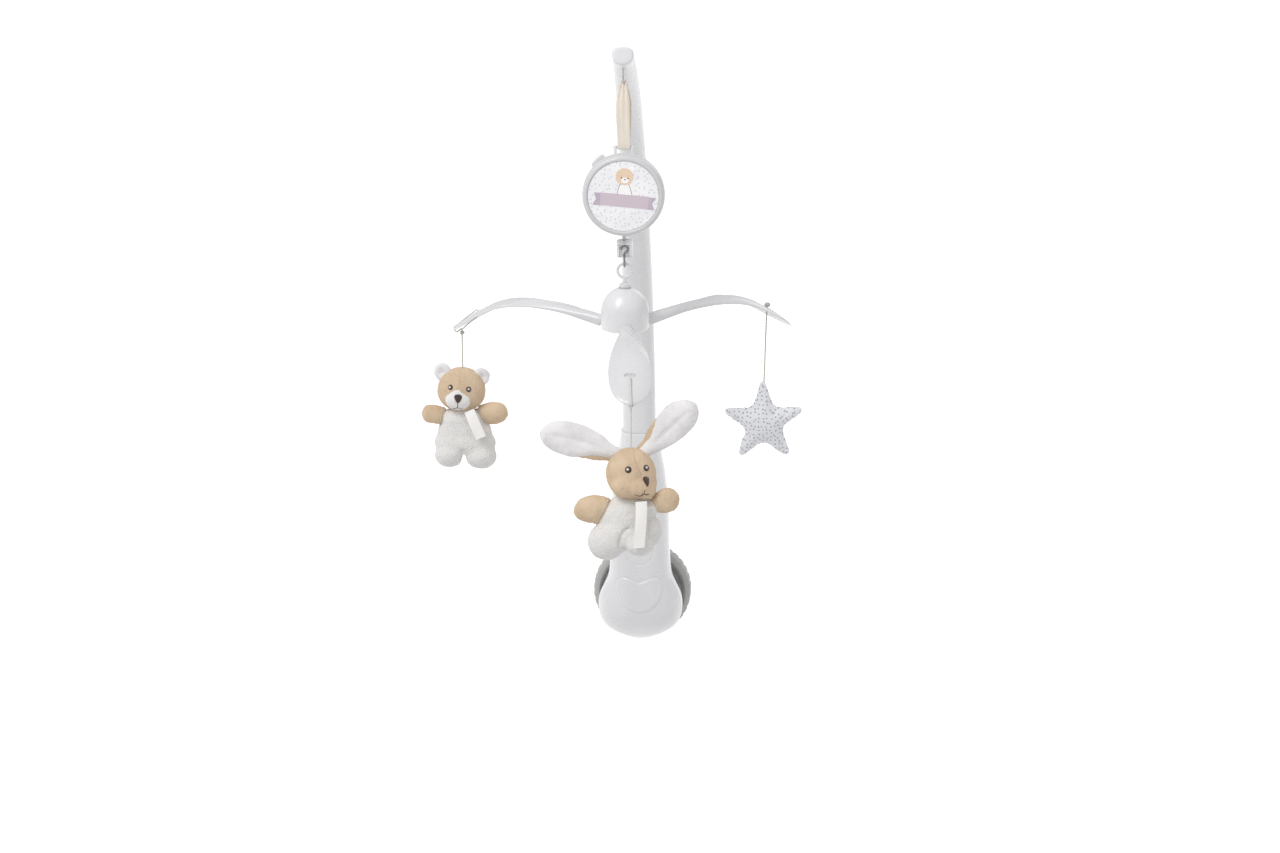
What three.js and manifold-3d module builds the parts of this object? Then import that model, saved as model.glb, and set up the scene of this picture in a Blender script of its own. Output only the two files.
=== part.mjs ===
// Crib mobile: a clamp-on stand, a wind-up music box that hangs from a ribbon,
// and a three-armed spider with a plush bear, a star cushion and a plush bunny.
// Millimetres, +Z up. The crib rail is at +Y, the toys at -Y. The origin is on
// the rubber clamp pad's rear face, on the stand's centre plane.
import * as THREE from 'three';
import * as BGU from 'three/addons/utils/BufferGeometryUtils.js';
import Module from 'manifold-3d';

const wasm = await Module();
wasm.setup();

// ---------------------------------------------------------------- dimensions
const GAP = 0.35; // between neighbouring pieces
// clamp and stand
const STUD_Z = -35; // clamp stud's axis height
const STUD_R = 5;
const RAIL = 22; // clamped rail or slat thickness at rest
const PAD_T = 3; // rubber pad thickness
const BACK_Y0 = -3.3; // rear shell's rear face
const BACK_Y1 = -9; // rear shell's front face
const SHELL_WALL = 2.4;
const POST_TOP = 146; // height where the curved arm plugs in
const NUT_R = 49;
const NUT_T = 21;
// curved arm, an arc in the plane X = 0
const ARC_Y = -6; // back of the arm at its foot
const ARC_Z = POST_TOP + GAP;
const ARC_R = 468;
const ARC_END = 66.3 * Math.PI / 180;
const ARM_WALL = 2.2;
// hanging line
const REACH = -280; // Y of the hub's axis
const HOOK_Z = 541; // underside of the ribbon hook
const BAIL_Z = 484.2; // centre of the music box's ribbon bar
const BOX_Z = 443; // music box's centre
const BOX_R = 37;
const EYE_Z = 371.2; // centre of the hub's ring
// spider
const HUB_R = 21.7;
const HUB_BOTTOM = 318;
const HUB_TOP = 356;
const SPIDER_TURN = 4.5 * Math.PI / 180; // of the front arm, toward +X
const STRING_R = 0.7;
const HANG_R = 171.5; // radius where the bear and the bunny hang
const STAR_HANG_R = 154.5; // radius where the star hangs
const SLOT_R = 154.5; // radius of the string slot in each arm

// ---------------------------------------------------------------- materials
const mat = (color, roughness, metalness = 0) =>
  new THREE.MeshStandardMaterial({ color, roughness, metalness });
const WHITE = mat(0xdfdfe1, 0.35);
const WHITE2 = mat(0xd9d9dc, 0.4);
const CLEAR = mat(0xe6e8ea, 0.25);
const RING = mat(0xd2d2d3, 0.4);
const LABEL = mat(0xf1f0ef, 0.6);
const GREY = mat(0xb4b4b2, 0.5);
const RUBBER = mat(0x8f8f8f, 0.85);
const STEEL = mat(0x8c8c8e, 0.3, 1);
const BRASS = mat(0xc2a35a, 0.35, 1);
const BEIGE = mat(0xe2c8a5, 0.95);
const PLUSH = mat(0xe6e3dd, 0.95);
const STARCLOTH = mat(0xe1e4ea, 0.9);
const RIBBON = mat(0xebe1d2, 0.85);
const TAG = mat(0xf3f1ee, 0.8);
const THREAD = mat(0xe8e2d8, 0.8);

// ---------------------------------------------------------------- helpers
const lerp = (a, b, t) => a + (b - a) * t;
const V = (x, y, z) => new THREE.Vector3(x, y, z);
const table = (rows, x) => {
  if (x <= rows[0][0]) return rows[0][1];
  for (let i = 1; i < rows.length; i++) {
    if (x <= rows[i][0]) {
      const t = (x - rows[i - 1][0]) / (rows[i][0] - rows[i - 1][0]);
      return lerp(rows[i - 1][1], rows[i][1], t);
    }
  }
  return rows[rows.length - 1][1];
};
// smooth curve through a table's rows
const spline = (rows, x) => {
  const n = rows.length;
  if (x <= rows[0][0]) return rows[0][1];
  if (x >= rows[n - 1][0]) return rows[n - 1][1];
  let i = 1;
  while (x > rows[i][0]) i++;
  const slope = (k) => (k <= 0 || k >= n - 1 ? (k <= 0
    ? (rows[1][1] - rows[0][1]) / (rows[1][0] - rows[0][0])
    : (rows[n - 1][1] - rows[n - 2][1]) / (rows[n - 1][0] - rows[n - 2][0]))
    : (rows[k + 1][1] - rows[k - 1][1]) / (rows[k + 1][0] - rows[k - 1][0]));
  const [x0, y0] = rows[i - 1];
  const [x1, y1] = rows[i];
  const h = x1 - x0;
  const t = (x - x0) / h;
  return (2 * t ** 3 - 3 * t ** 2 + 1) * y0 + (t ** 3 - 2 * t ** 2 + t) * h * slope(i - 1)
    + (-2 * t ** 3 + 3 * t ** 2) * y1 + (t ** 3 - t ** 2) * h * slope(i);
};
const weld = (geo) => {
  const g = geo.clone();
  for (const name of Object.keys(g.attributes)) if (name !== 'position') g.deleteAttribute(name);
  return BGU.mergeVertices(g, 1e-4);
};
const volume = (g) => {
  const p = g.attributes.position;
  const ix = g.index.array;
  let v = 0;
  const [a, b, c] = [V(), V(), V()];
  for (let i = 0; i < ix.length; i += 3) {
    a.fromBufferAttribute(p, ix[i]);
    b.fromBufferAttribute(p, ix[i + 1]);
    c.fromBufferAttribute(p, ix[i + 2]);
    v += a.dot(b.cross(c)) / 6;
  }
  return v;
};
// drops triangles that have lost a corner, and turns the faces outward
const tidy = (geo) => {
  const g = weld(geo);
  const ix = Array.from(g.index.array);
  const kept = [];
  for (let i = 0; i < ix.length; i += 3) {
    const [a, b, c] = [ix[i], ix[i + 1], ix[i + 2]];
    if (a !== b && b !== c && a !== c) kept.push(a, b, c);
  }
  g.setIndex(kept);
  if (volume(g) < 0) {
    for (let i = 0; i < kept.length; i += 3) [kept[i], kept[i + 1]] = [kept[i + 1], kept[i]];
    g.setIndex(kept);
  }
  g.computeVertexNormals();
  return g;
};
const solid = (geo) => {
  const g = tidy(geo);
  return new wasm.Manifold(new wasm.Mesh({
    numProp: 3,
    vertProperties: new Float32Array(g.attributes.position.array),
    triVerts: new Uint32Array(g.index.array),
  }));
};
const geometry = (m) => {
  const mesh = m.getMesh();
  const g = new THREE.BufferGeometry();
  const n = mesh.numProp;
  const pos = new Float32Array((mesh.vertProperties.length / n) * 3);
  for (let i = 0; i < pos.length / 3; i++) {
    for (let k = 0; k < 3; k++) pos[3 * i + k] = mesh.vertProperties[n * i + k];
  }
  g.setAttribute('position', new THREE.BufferAttribute(pos, 3));
  g.setIndex(Array.from(mesh.triVerts));
  return g;
};
const cut = (base, ...tools) => geometry(tools.reduce((m, t) => m.subtract(solid(t)), solid(base)));
const join = (base, ...tools) => geometry(tools.reduce((m, t) => m.add(solid(t)), solid(base)));

// a closed skin over sections: at(angle, t) gives a point of the skin, mid(t) an end's middle
const loft = (around, stations, at, mid) => {
  const along = stations.length - 1;
  const g = new THREE.CylinderGeometry(1, 1, 1, around, along, false);
  const p = g.attributes.position;
  for (let i = 0; i < p.count; i++) {
    const [x, y, z] = [p.getX(i), p.getY(i), p.getZ(i)];
    const t = stations[Math.round((0.5 - y) * along)];
    const q = x * x + z * z < 1e-6 ? mid(t) : at(Math.atan2(z, x), t);
    p.setXYZ(i, q.x, q.y, q.z);
  }
  return tidy(g);
};
const range = (a, b, n) => Array.from({ length: n + 1 }, (_, i) => lerp(a, b, i / n));
// a rod between two points
const rod = (a, b, r, sides = 16, r2 = r) => {
  const d = b.clone().sub(a);
  const g = new THREE.CylinderGeometry(r2, r, d.length(), sides, 1, false);
  g.applyQuaternion(new THREE.Quaternion().setFromUnitVectors(V(0, 1, 0), d.clone().normalize()));
  const m = a.clone().add(b).multiplyScalar(0.5);
  g.translate(m.x, m.y, m.z);
  return g;
};
// a turned solid about an axis through c: the profile is [radius, along] pairs, closed on the axis
const turned = (profile, c, axis = 'z', sides = 32) => {
  const g = new THREE.LatheGeometry(profile.map(([r, h]) => new THREE.Vector2(r, h)), sides);
  if (axis === 'z') g.rotateX(Math.PI / 2);
  g.translate(c.x, c.y, c.z);
  return tidy(g);
};
// a round wire along a smooth curve
const wire = (points, r, steps, sides = 8) => {
  const shape = new THREE.Shape();
  for (let i = 0; i < sides; i++) {
    const a = (2 * Math.PI * i) / sides;
    if (i) shape.lineTo(r * Math.cos(a), r * Math.sin(a));
    else shape.moveTo(r, 0);
  }
  const curve = new THREE.CatmullRomCurve3(points, false, 'centripetal');
  return tidy(new THREE.ExtrudeGeometry(shape, { steps, bevelEnabled: false, extrudePath: curve }));
};
const ball = (c, rx, ry, rz, w = 20, h = 14) => {
  const g = new THREE.SphereGeometry(1, w, h);
  g.rotateX(Math.PI / 2);
  g.scale(rx, ry, rz);
  g.translate(c.x, c.y, c.z);
  return g;
};
const box = (x0, x1, y0, y1, z0, z1) => {
  const g = new THREE.BoxGeometry(x1 - x0, y1 - y0, z1 - z0);
  g.translate((x0 + x1) / 2, (y0 + y1) / 2, (z0 + z1) / 2);
  return g;
};
const power = (v, e) => Math.sign(v) * Math.abs(v) ** e;

const group = new THREE.Group();
const add = (name, geo, material) => {
  const mesh = new THREE.Mesh(tidy(geo), material);
  mesh.name = name;
  group.add(mesh);
  return mesh;
};

// ---------------------------------------------------------------- base and post
// half-width of the pear-shaped base and the post over it, by height
const WIDTH = [[-70.8, 4], [-69.6, 9.5], [-67, 16.5], [-63, 25.5], [-58, 33], [-52, 37.9], [-45, 40.7],
  [-35, 41.8], [-25, 40.5], [-14, 35.6], [-5, 32], [5, 30.4], [20, 29.5], [40, 29], [67, 28.4],
  [97, 25.8], [117, 22.6], [132, 20], [POST_TOP, 18.3]];
// depth in front of the rear shell's front face
const DEPTH = [[-70.8, 6], [-67, 13], [-60, 20], [-50, 26], [-35, 30], [0, 29.5], [60, 28], [POST_TOP, 24.5]];
const frontShell = (inset, y0, z0, z1, n) => loft(24, range(0, 1, n), (a, t) => {
  const z = lerp(z0, z1, t);
  const w = Math.max(spline(WIDTH, z) - inset, 1.5);
  const d = Math.max(spline(DEPTH, z) - inset, 1.5);
  const [c, s] = [Math.cos(a), Math.sin(a)];
  return V(w * power(c, 0.8), s >= 0 ? BACK_Y1 - GAP - d * s ** 0.75 : y0, z);
}, (t) => V(0, BACK_Y1 - GAP - 1, lerp(z0, z1, t)));
const zShell = [];
{
  const outer = frontShell(0, BACK_Y1 - GAP, -70.8, POST_TOP, 20);
  const inner = frontShell(SHELL_WALL, BACK_Y1 + 6, -67.6, POST_TOP + 6, 12);
  add('base_front_shell', cut(outer, inner), WHITE);
}
const slab = (inset, y0, y1, z0, z1, n) => loft(20, range(0, 1, n), (a, t) => {
  const z = lerp(z0, z1, t);
  const w = Math.max(spline(WIDTH, z) - inset, 2);
  const [c, s] = [Math.cos(a), Math.sin(a)];
  return V(w * power(c, 0.45), lerp(y0, y1, 0.5 + 0.5 * power(s, 0.25)), z);
}, (t) => V(0, (y0 + y1) / 2, lerp(z0, z1, t)));
{
  const plate = slab(0.4, BACK_Y1, BACK_Y0, -70.2, POST_TOP, 15);
  const studHole = rod(V(0, 5, STUD_Z), V(0, -15, STUD_Z), STUD_R + GAP, 24);
  const holes = [62, 110].flatMap((z) => [
    rod(V(0, -12, z), V(0, 0, z), 1.9, 16),
    rod(V(0, -5.6, z), V(0, 0, z), 4, 20),
  ]);
  add('base_rear_shell', cut(plate, studHole, ...holes), WHITE2);
  [62, 110].forEach((z, i) => {
    const head = turned([[0, 0], [3.6, 0], [3.6, 1.4], [2.6, 2], [0, 2]], V(0, 0, 0), 'z', 20);
    head.rotateX(-Math.PI / 2);
    head.translate(0, -5.2, z);
    const screw = join(head, rod(V(0, -18, z), V(0, -5, z), 1.5, 12));
    add(`shell_screw_${i + 1}`, screw, STEEL);
  });
}
{
  const pad = slab(4.5, -PAD_T, 0, -65, 46, 11);
  // flat on both faces: the rounded edge is squared off
  const p = pad.attributes.position;
  for (let i = 0; i < p.count; i++) p.setY(i, p.getY(i) > -PAD_T / 2 ? 0 : -PAD_T);
  add('clamp_pad', cut(pad, rod(V(0, 5, STUD_Z), V(0, -10, STUD_Z), STUD_R + 1, 24)), RUBBER);
}
{
  const stud = join(
    rod(V(0, -10 - GAP, STUD_Z), V(0, 68, STUD_Z), STUD_R, 20),
    rod(V(0, -17, STUD_Z), V(0, BACK_Y1 - GAP, STUD_Z), 12, 6),
  );
  add('clamp_stud', stud, STEEL);
}
{
  // pressure pad, then the round nut behind it
  const y0 = RAIL;
  const pad = cut(
    rod(V(0, y0, STUD_Z), V(0, y0 + 3, STUD_Z), 43, 30),
    rod(V(0, y0 - 2, STUD_Z), V(0, y0 + 8, STUD_Z), STUD_R + 0.8, 20),
  );
  add('nut_pad', pad, RUBBER);
  const n0 = y0 + 3 + GAP;
  const prof = [[STUD_R + 0.5, n0], [NUT_R - 5, n0], [NUT_R - 1, n0 + 2], [NUT_R, n0 + 5],
    [NUT_R, n0 + NUT_T - 5], [NUT_R - 3, n0 + NUT_T - 1], [NUT_R - 7, n0 + NUT_T],
    [NUT_R - 10, n0 + NUT_T], [NUT_R - 12, n0 + NUT_T - 9], [16, n0 + NUT_T - 9], [14, n0 + NUT_T],
    [STUD_R + 0.5, n0 + NUT_T], [STUD_R + 0.5, n0]];
  const g = new THREE.LatheGeometry(prof.map(([r, h]) => new THREE.Vector2(r, h)), 26);
  g.translate(0, 0, STUD_Z);
  add('clamp_nut', g, GREY);
}

// ---------------------------------------------------------------- curved arm
const ARM_W = [[0, 16.2], [0.1, 16], [0.3, 14.6], [0.55, 12.6], [0.78, 11.2], [1, 9.5]];
const ARM_D = [[0, 23], [0.3, 21.5], [0.7, 18.5], [1, 16.2]];
const arcBack = (s) => {
  const a = s * ARC_END;
  return V(0, ARC_Y - ARC_R * (1 - Math.cos(a)), ARC_Z + ARC_R * Math.sin(a));
};
const arcT = (s) => V(0, -Math.sin(s * ARC_END), Math.cos(s * ARC_END));
const arcF = (s) => V(0, -Math.cos(s * ARC_END), -Math.sin(s * ARC_END));
// a point of the arm's section: a crowned front and a flatter back
const armPoint = (s, a, inset, past = 0, scale = 1) => {
  const w = (spline(ARM_W, s) - inset) * scale;
  const d = spline(ARM_D, s) - 2 * inset;
  const [c, q] = [Math.cos(a), Math.sin(a)];
  const mid = inset + d * 0.42;
  const deep = q >= 0 ? mid + (d * 0.58) * q ** 0.9 * scale : mid - (d * 0.42) * Math.abs(q) ** 0.55 * scale;
  return arcBack(s).addScaledVector(V(1, 0, 0), w * power(c, 0.85))
    .addScaledVector(arcF(s), deep).addScaledVector(arcT(s), past);
};
const armMid = (s, inset = 0, past = 0) => arcBack(s)
  .addScaledVector(arcF(s), inset + (spline(ARM_D, s) - 2 * inset) * 0.42).addScaledVector(arcT(s), past);
{
  // the foot's spigot goes down inside the post
  const SPIGOT = 24;
  const stations = [{ s: 0, past: -SPIGOT, inset: 3.1 }, { s: 0, past: 0, inset: 3.1 }, { s: 0, past: 0, inset: 0 },
    ...range(0, 1, 14).slice(1).map((s) => ({ s, past: 0, inset: 0 }))];
  const shift = V(0, -4.6, 0);
  const at = (a, t) => {
    const q = armPoint(t.s, a, t.inset, t.past);
    return t.inset ? q.add(shift.clone().multiplyScalar(0.35)) : q;
  };
  const outer = loft(18, stations, at, (t) => armMid(t.s, t.inset, t.past));
  const bore = loft(14, [{ s: 0, past: -SPIGOT - 4, inset: 5.3 }, ...range(0.02, 1, 12).map((s) => ({ s, past: 0, inset: 0 })),
    { s: 1, past: 4, inset: 0 }], (a, t) => armPoint(t.s, a, t.inset || ARM_WALL, t.past), (t) => armMid(t.s, t.inset || ARM_WALL, t.past));
  const hole = rod(V(0, REACH - 3, HOOK_Z + 4), V(0, REACH - 3, HOOK_Z + 24), 1.5, 12);
  add('curved_arm', cut(outer, bore, hole), WHITE);
  const capStations = [{ past: -7, scale: 0.9, inset: ARM_WALL + 0.5 }, { past: GAP, scale: 1, inset: ARM_WALL + 0.5 },
    { past: GAP, scale: 1, inset: 0 }, { past: 2.2, scale: 1, inset: 0 }, { past: 3.2, scale: 0.93, inset: 0 }, { past: 3.6, scale: 0.8, inset: 0 }];
  add('arm_end_cap', loft(18, capStations, (a, t) => armPoint(1, a, t.inset, t.past, t.scale),
    (t) => armMid(1, t.inset, t.past)), WHITE2);
}
{
  const y = REACH;
  const pts = [V(0, y - 3, HOOK_Z + 18), V(0, y - 3, HOOK_Z + 10), V(0, y - 3, HOOK_Z + 4.2), V(0, y - 2.2, HOOK_Z + 1.9),
    V(0, y, HOOK_Z + 1), V(0, y + 2.2, HOOK_Z + 1.9), V(0, y + 3, HOOK_Z + 4.2), V(0, y + 3, HOOK_Z + 8)];
  add('hang_hook', wire(pts, 1, 16, 8), STEEL);
}

// ---------------------------------------------------------------- ribbon and music box
{
  // a doubled tape, gathered at the hook
  const top = HOOK_Z + 4.4;
  const bottom = BAIL_Z - 3.4;
  const s = new THREE.Shape();
  s.moveTo(-3.6, top);
  s.lineTo(3.6, top);
  s.lineTo(4.4, HOOK_Z - 3);
  s.lineTo(6.3, HOOK_Z - 16);
  s.lineTo(5.6, bottom + 12);
  s.lineTo(5.6, bottom);
  s.lineTo(-5.6, bottom);
  s.lineTo(-5.6, bottom + 12);
  s.lineTo(-6.3, HOOK_Z - 16);
  s.lineTo(-4.4, HOOK_Z - 3);
  s.closePath();
  const tape = new THREE.ExtrudeGeometry(s, { depth: 1.6, bevelEnabled: false });
  tape.rotateX(Math.PI / 2); // shape's y becomes z
  tape.translate(0, REACH + 0.8, 0);
  const wireHole = rod(V(0, REACH - 3, HOOK_Z + 1), V(0, REACH + 3, HOOK_Z + 1), 1.4, 12);
  // the lower fold wraps the bar
  const fold = rod(V(-5.6, REACH, BAIL_Z), V(5.6, REACH, BAIL_Z), 3, 16);
  const barHole = rod(V(-8, REACH, BAIL_Z), V(8, REACH, BAIL_Z), 1.6, 16);
  const under = box(-8, 8, REACH - 4, REACH + 4, BAIL_Z - 6, BAIL_Z - 2.99);
  add('ribbon', cut(join(tape, fold), wireHole, barHole, under), RIBBON);
}
const BOX_FRONT = REACH - 17;
const BOX_BACK = REACH + 15;
{
  // rear case: a cup open to the front, with the ribbon bar on top
  const c = V(0, 0, BOX_Z);
  const f = BOX_FRONT + 10;
  const outer = [[0, BOX_BACK], [16, BOX_BACK - 0.6], [25, BOX_BACK - 2.6], [31, BOX_BACK - 6], [35, BOX_BACK - 11.5],
    [36.6, BOX_BACK - 17], [36.6, f + GAP], [34.4, f + GAP], [34.4, BOX_BACK - 16], [33, BOX_BACK - 12.4], [29.6, BOX_BACK - 7.8],
    [24, BOX_BACK - 4.8], [15.6, BOX_BACK - 2.9], [0, BOX_BACK - 2.4]];
  const cup = new THREE.LatheGeometry(outer.map(([r, h]) => new THREE.Vector2(r, h)), 26);
  cup.translate(c.x, c.y, c.z);
  const bar = rod(V(-8.6, REACH, BAIL_Z), V(8.6, REACH, BAIL_Z), 1.25, 12);
  const legs = [-7.6, 7.6].map((x) => box(x - 1.1, x + 1.1, REACH - 1.6, REACH + 1.6, BOX_Z + 34.9, BAIL_Z + 1.4));
  const keyHole = rod(V(0, BOX_BACK - 8, BOX_Z), V(0, BOX_BACK + 4, BOX_Z), 3.4, 20);
  const shaftHole = rod(V(0, REACH, BOX_Z - 40), V(0, REACH, BOX_Z - 30), 3, 16);
  add('music_box_rear_case', cut(join(cup, bar, ...legs), keyHole, shaftHole), WHITE2);
}
{
  // front ring that carries the label
  const y = BOX_FRONT;
  const prof = [[31.2, y + 0.6], [32.4, y - 0.4], [34.6, y - 0.2], [36.4, y + 1.8], [BOX_R, y + 4.6], [BOX_R, y + 10], [33.7, y + 10],
    [33.7, y + 12.5], [32.6, y + 12.5], [32.6, y + 4.6], [31.2, y + 4.6], [31.2, y + 0.6]];
  // the inner tongue goes into the case
  const g = new THREE.LatheGeometry(prof.map(([r, h]) => new THREE.Vector2(r, h)), 28);
  g.translate(0, 0, BOX_Z);
  add('music_box_ring', g, RING);
  const disc = new THREE.LatheGeometry([[0, y + 0.9], [30.2, y + 0.9], [30.85, y + 1.5], [30.85, y + 3.4], [0, y + 3.4]]
    .map(([r, h]) => new THREE.Vector2(r, h)), 28);
  disc.translate(0, 0, BOX_Z);
  add('music_box_face', disc, LABEL);
}
{
  // movement: plate, spring barrel, pinned drum, comb, output shaft and its crown wheel
  const p0 = BOX_BACK - 9.5;
  const plate = cut(box(-24, 18, p0, p0 + 2.4, BOX_Z - 13, BOX_Z + 15), rod(V(0, p0 - 3, BOX_Z), V(0, p0 + 5, BOX_Z), 3.2, 20));
  add('movement_plate', plate, STEEL);
  const barrel = new THREE.LatheGeometry([[2.6, p0 - 0.5], [11.5, p0 - 0.5], [11.5, p0 - 3], [10, p0 - 3], [10, p0 - 11.5], [2.6, p0 - 11.5], [2.6, p0 - 0.5]]
    .map(([r, h]) => new THREE.Vector2(r, h)), 20);
  barrel.translate(0, 0, BOX_Z);
  add('spring_barrel', barrel, BRASS);
  const dx = -18.2;
  const drum = new THREE.LatheGeometry([[0, p0 - 0.5], [6.2, p0 - 0.5], [6.2, p0 - 3], [5.4, p0 - 3], [5.4, p0 - 15], [0, p0 - 15]]
    .map(([r, h]) => new THREE.Vector2(r, h)), 18);
  drum.translate(dx, 0, BOX_Z);
  add('pinned_drum', drum, BRASS);
  const comb = box(dx - 4.5, dx + 4.5, p0 - 15, p0 - 4, BOX_Z + 6.4, BOX_Z + 7.6);
  const teeth = range(p0 - 14.2, p0 - 5.4, 8).map((y) => box(dx - 5, dx + 1, y - 0.15, y + 0.35, BOX_Z + 6, BOX_Z + 8));
  add('comb', cut(comb, ...teeth), STEEL);
}
{
  const shaft = join(
    rod(V(0, REACH, BOX_Z - 48.5), V(0, REACH, BOX_Z - 24), 2, 16),
    rod(V(0, REACH, BOX_Z - 26), V(0, REACH, BOX_Z - 22.6), 8, 24),
    rod(V(0, REACH, BOX_Z - 31.4), V(0, REACH, BOX_Z - 29.8), 3.6, 16),
  );
  add('output_shaft', shaft, STEEL);
}
{
  // winding key: an arbor and a long flat paddle
  const k0 = BOX_BACK + 1.2;
  const paddle = loft(14, range(0, 1, 6), (a, t) => {
    const x = lerp(-37.5, 37.5, t);
    const e = Math.abs(2 * t - 1);
    const h = e > 0.99 ? 3.2 : 7.4 - 2.6 * (1 - e) ** 2;
    return V(x, k0 + 4.4 + 1.7 * power(Math.sin(a), 0.6), h * power(Math.cos(a), 0.7));
  }, (t) => V(lerp(-37.5, 37.5, t), k0 + 4.4, 0));
  const key = join(paddle, rod(V(0, k0, 0), V(0, k0 + 6, 0), 6.2, 24), rod(V(0, BOX_BACK - 19, 0), V(0, k0 + 1, 0), 2, 16));
  key.rotateY(Math.PI / 4);
  key.translate(0, 0, BOX_Z);
  add('winding_key', key, WHITE2);
}

// ---------------------------------------------------------------- swivel and hub
{
  const b0 = 383.7;
  const b1 = 399.4;
  const block = loft(24, [0, 0.06, 0.94, 1], (a, t) => {
    const k = t < 0.01 || t > 0.99 ? 0.86 : 1;
    return V(7.2 * k * power(Math.cos(a), 0.5), REACH + 5.2 * k * power(Math.sin(a), 0.5), lerp(b0, b1, t));
  }, (t) => V(0, REACH, lerp(b0, b1, t)));
  const bore = rod(V(0, REACH, b1 - 5.6), V(0, REACH, b1 + 2), 2 + GAP, 16);
  const pocket = box(-4.9, 4.9, REACH - 8, REACH - 2.2, b0 - 1, b1 - 3.6);
  add('swivel_block', cut(block, bore, pocket), CLEAR);
  const y = REACH - 3.6;
  const top = EYE_Z + 6.4;
  const pts = [V(-2.8, y, b1 - 7.6), V(-1.6, y, b1 - 5.4), V(1, y, b1 - 5), V(3.2, y, b1 - 7), V(2.4, y, b1 - 9.6), V(0.3, y, b1 - 11.6),
    V(0, y, b1 - 14.5), V(0, y, top + 1.5), V(0, y + 0.6, top - 1.4), V(0, REACH, top - 2.75), V(0, REACH + 3, top - 1.4), V(0, REACH + 3.6, top + 1.4)];
  add('swivel_hook', wire(pts, 0.9, 28, 6), STEEL);
}
{
  const ring = new THREE.TorusGeometry(6.4, 1.3, 8, 20);
  ring.rotateX(Math.PI / 2);
  ring.translate(0, REACH, EYE_Z);
  const stem = turned([[0, 345.5], [7.4, 345.5], [7.4, 347.6], [3.6, 347.6], [3.6, 350.6], [5.5, 357.2], [5.2, 358.6], [2.2, 360.4], [2.2, EYE_Z - 5.6], [0, EYE_Z - 5.6]],
    V(0, REACH, 0), 'z', 16);
  add('hub_eye', join(ring, stem), CLEAR);
}
const turn = (k) => {
  const a = SPIDER_TURN + (k * 2 * Math.PI) / 3;
  return V(Math.sin(a), -Math.cos(a), 0);
};
{
  const prof = [[0, HUB_TOP], [9.5, HUB_TOP - 2.2], [14.2, HUB_TOP - 5.6], [18, HUB_TOP - 10.2], [20.6, HUB_TOP - 15.6], [HUB_R, HUB_TOP - 22],
    [HUB_R, HUB_BOTTOM], [HUB_R - 2.2, HUB_BOTTOM], [HUB_R - 2.2, HUB_TOP - 22], [18.6, HUB_TOP - 16.4], [16.2, HUB_TOP - 11.6], [12.9, HUB_TOP - 7.4], [8.8, HUB_TOP - 4.4], [0, HUB_TOP - 2.6]];
  const g = new THREE.LatheGeometry(prof.map(([r, h]) => new THREE.Vector2(r, h)), 26);
  g.rotateX(Math.PI / 2);
  g.translate(0, REACH, 0);
  const slots = [0, 1, 2].map((k) => {
    const b = new THREE.BoxGeometry(12.2, 14, 13.4);
    b.translate(0, -HUB_R, HUB_BOTTOM + 4.2);
    b.rotateZ(SPIDER_TURN + (k * 2 * Math.PI) / 3);
    b.translate(0, REACH, 0);
    return b;
  });
  add('hub_dome', cut(g, ...slots, rod(V(0, REACH, HUB_TOP - 12), V(0, REACH, HUB_TOP + 5), 6.2, 24)), WHITE);
  add('hub_floor', turned([[0, HUB_BOTTOM + 0.3], [16.5, HUB_BOTTOM + 0.3], [16.5, HUB_BOTTOM + 2], [0, HUB_BOTTOM + 2]], V(0, REACH, 0), 'z', 24), WHITE2);
}
// spider arms: narrow and deep at the root, broad and thin at the drooping tip
const TOP = [[9, 327], [22, 327.5], [43, 330.5], [60, 332.6], [80, 334], [102, 334], [120, 331.6], [135, 326.6], [147, 320],
  [160, 312], [170, 304.6], [178, 297.8]];
const HALF = [[9, 4.4], [20, 5.2], [43, 6.4], [70, 7.8], [105, 12.8], [135, 18], [147, 19], [160, 18], [168, 15.2], [173, 11.8], [176.5, 7.4], [178, 3.4]];
const THICK = [[22.5, 6.2], [24.5, 10.2], [43, 8.6], [60, 6.8], [90, 4.6], [130, 2.9], [178, 2.2]];
const CROWN = [[9, 0.6], [60, 1.6], [100, 2.6], [140, 4], [165, 3.2], [178, 0.6]];
const armTop = (r) => spline(TOP, r);
const armAt = (k, r, side, z) => {
  const d = turn(k);
  return V(d.x * r - d.y * side, REACH + d.y * r + d.x * side, z);
};
[0, 1, 2].forEach((k) => {
  const rs = [9, 21.2, 22.4, 24.6, 40, 60, 80, 98, 114, 128, 140, 151, 161, 168.5, 173.5, 176.6, 178];
  const blade = loft(14, rs, (a, r) => {
    const [c, s] = [Math.cos(a), Math.sin(a)];
    const w = spline(HALF, r);
    const x = w * power(c, 0.8);
    const crown = spline(CROWN, r);
    const drop = crown * (x / w) ** 2;
    const thick = r < 22.5 ? 6.2 : table(THICK, r);
    const z = s >= 0 ? armTop(r) - drop - thick * 0.5 * (1 - s ** 0.6) : armTop(r) - drop - thick * 0.5 * (1 + Math.abs(s) ** 0.6);
    return armAt(k, r, x, z);
  }, (r) => armAt(k, r, 0, armTop(r) - (r < 22.5 ? 3.1 : table(THICK, r) / 2)));
  const slot = new THREE.BoxGeometry(11, 5.4, 24);
  slot.translate(0, -SLOT_R, armTop(SLOT_R));
  slot.rotateZ(SPIDER_TURN + (k * 2 * Math.PI) / 3);
  slot.translate(0, REACH, 0);
  add(['arm_front', 'arm_right', 'arm_left'][k], cut(blade, slot), WHITE);
});

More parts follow.
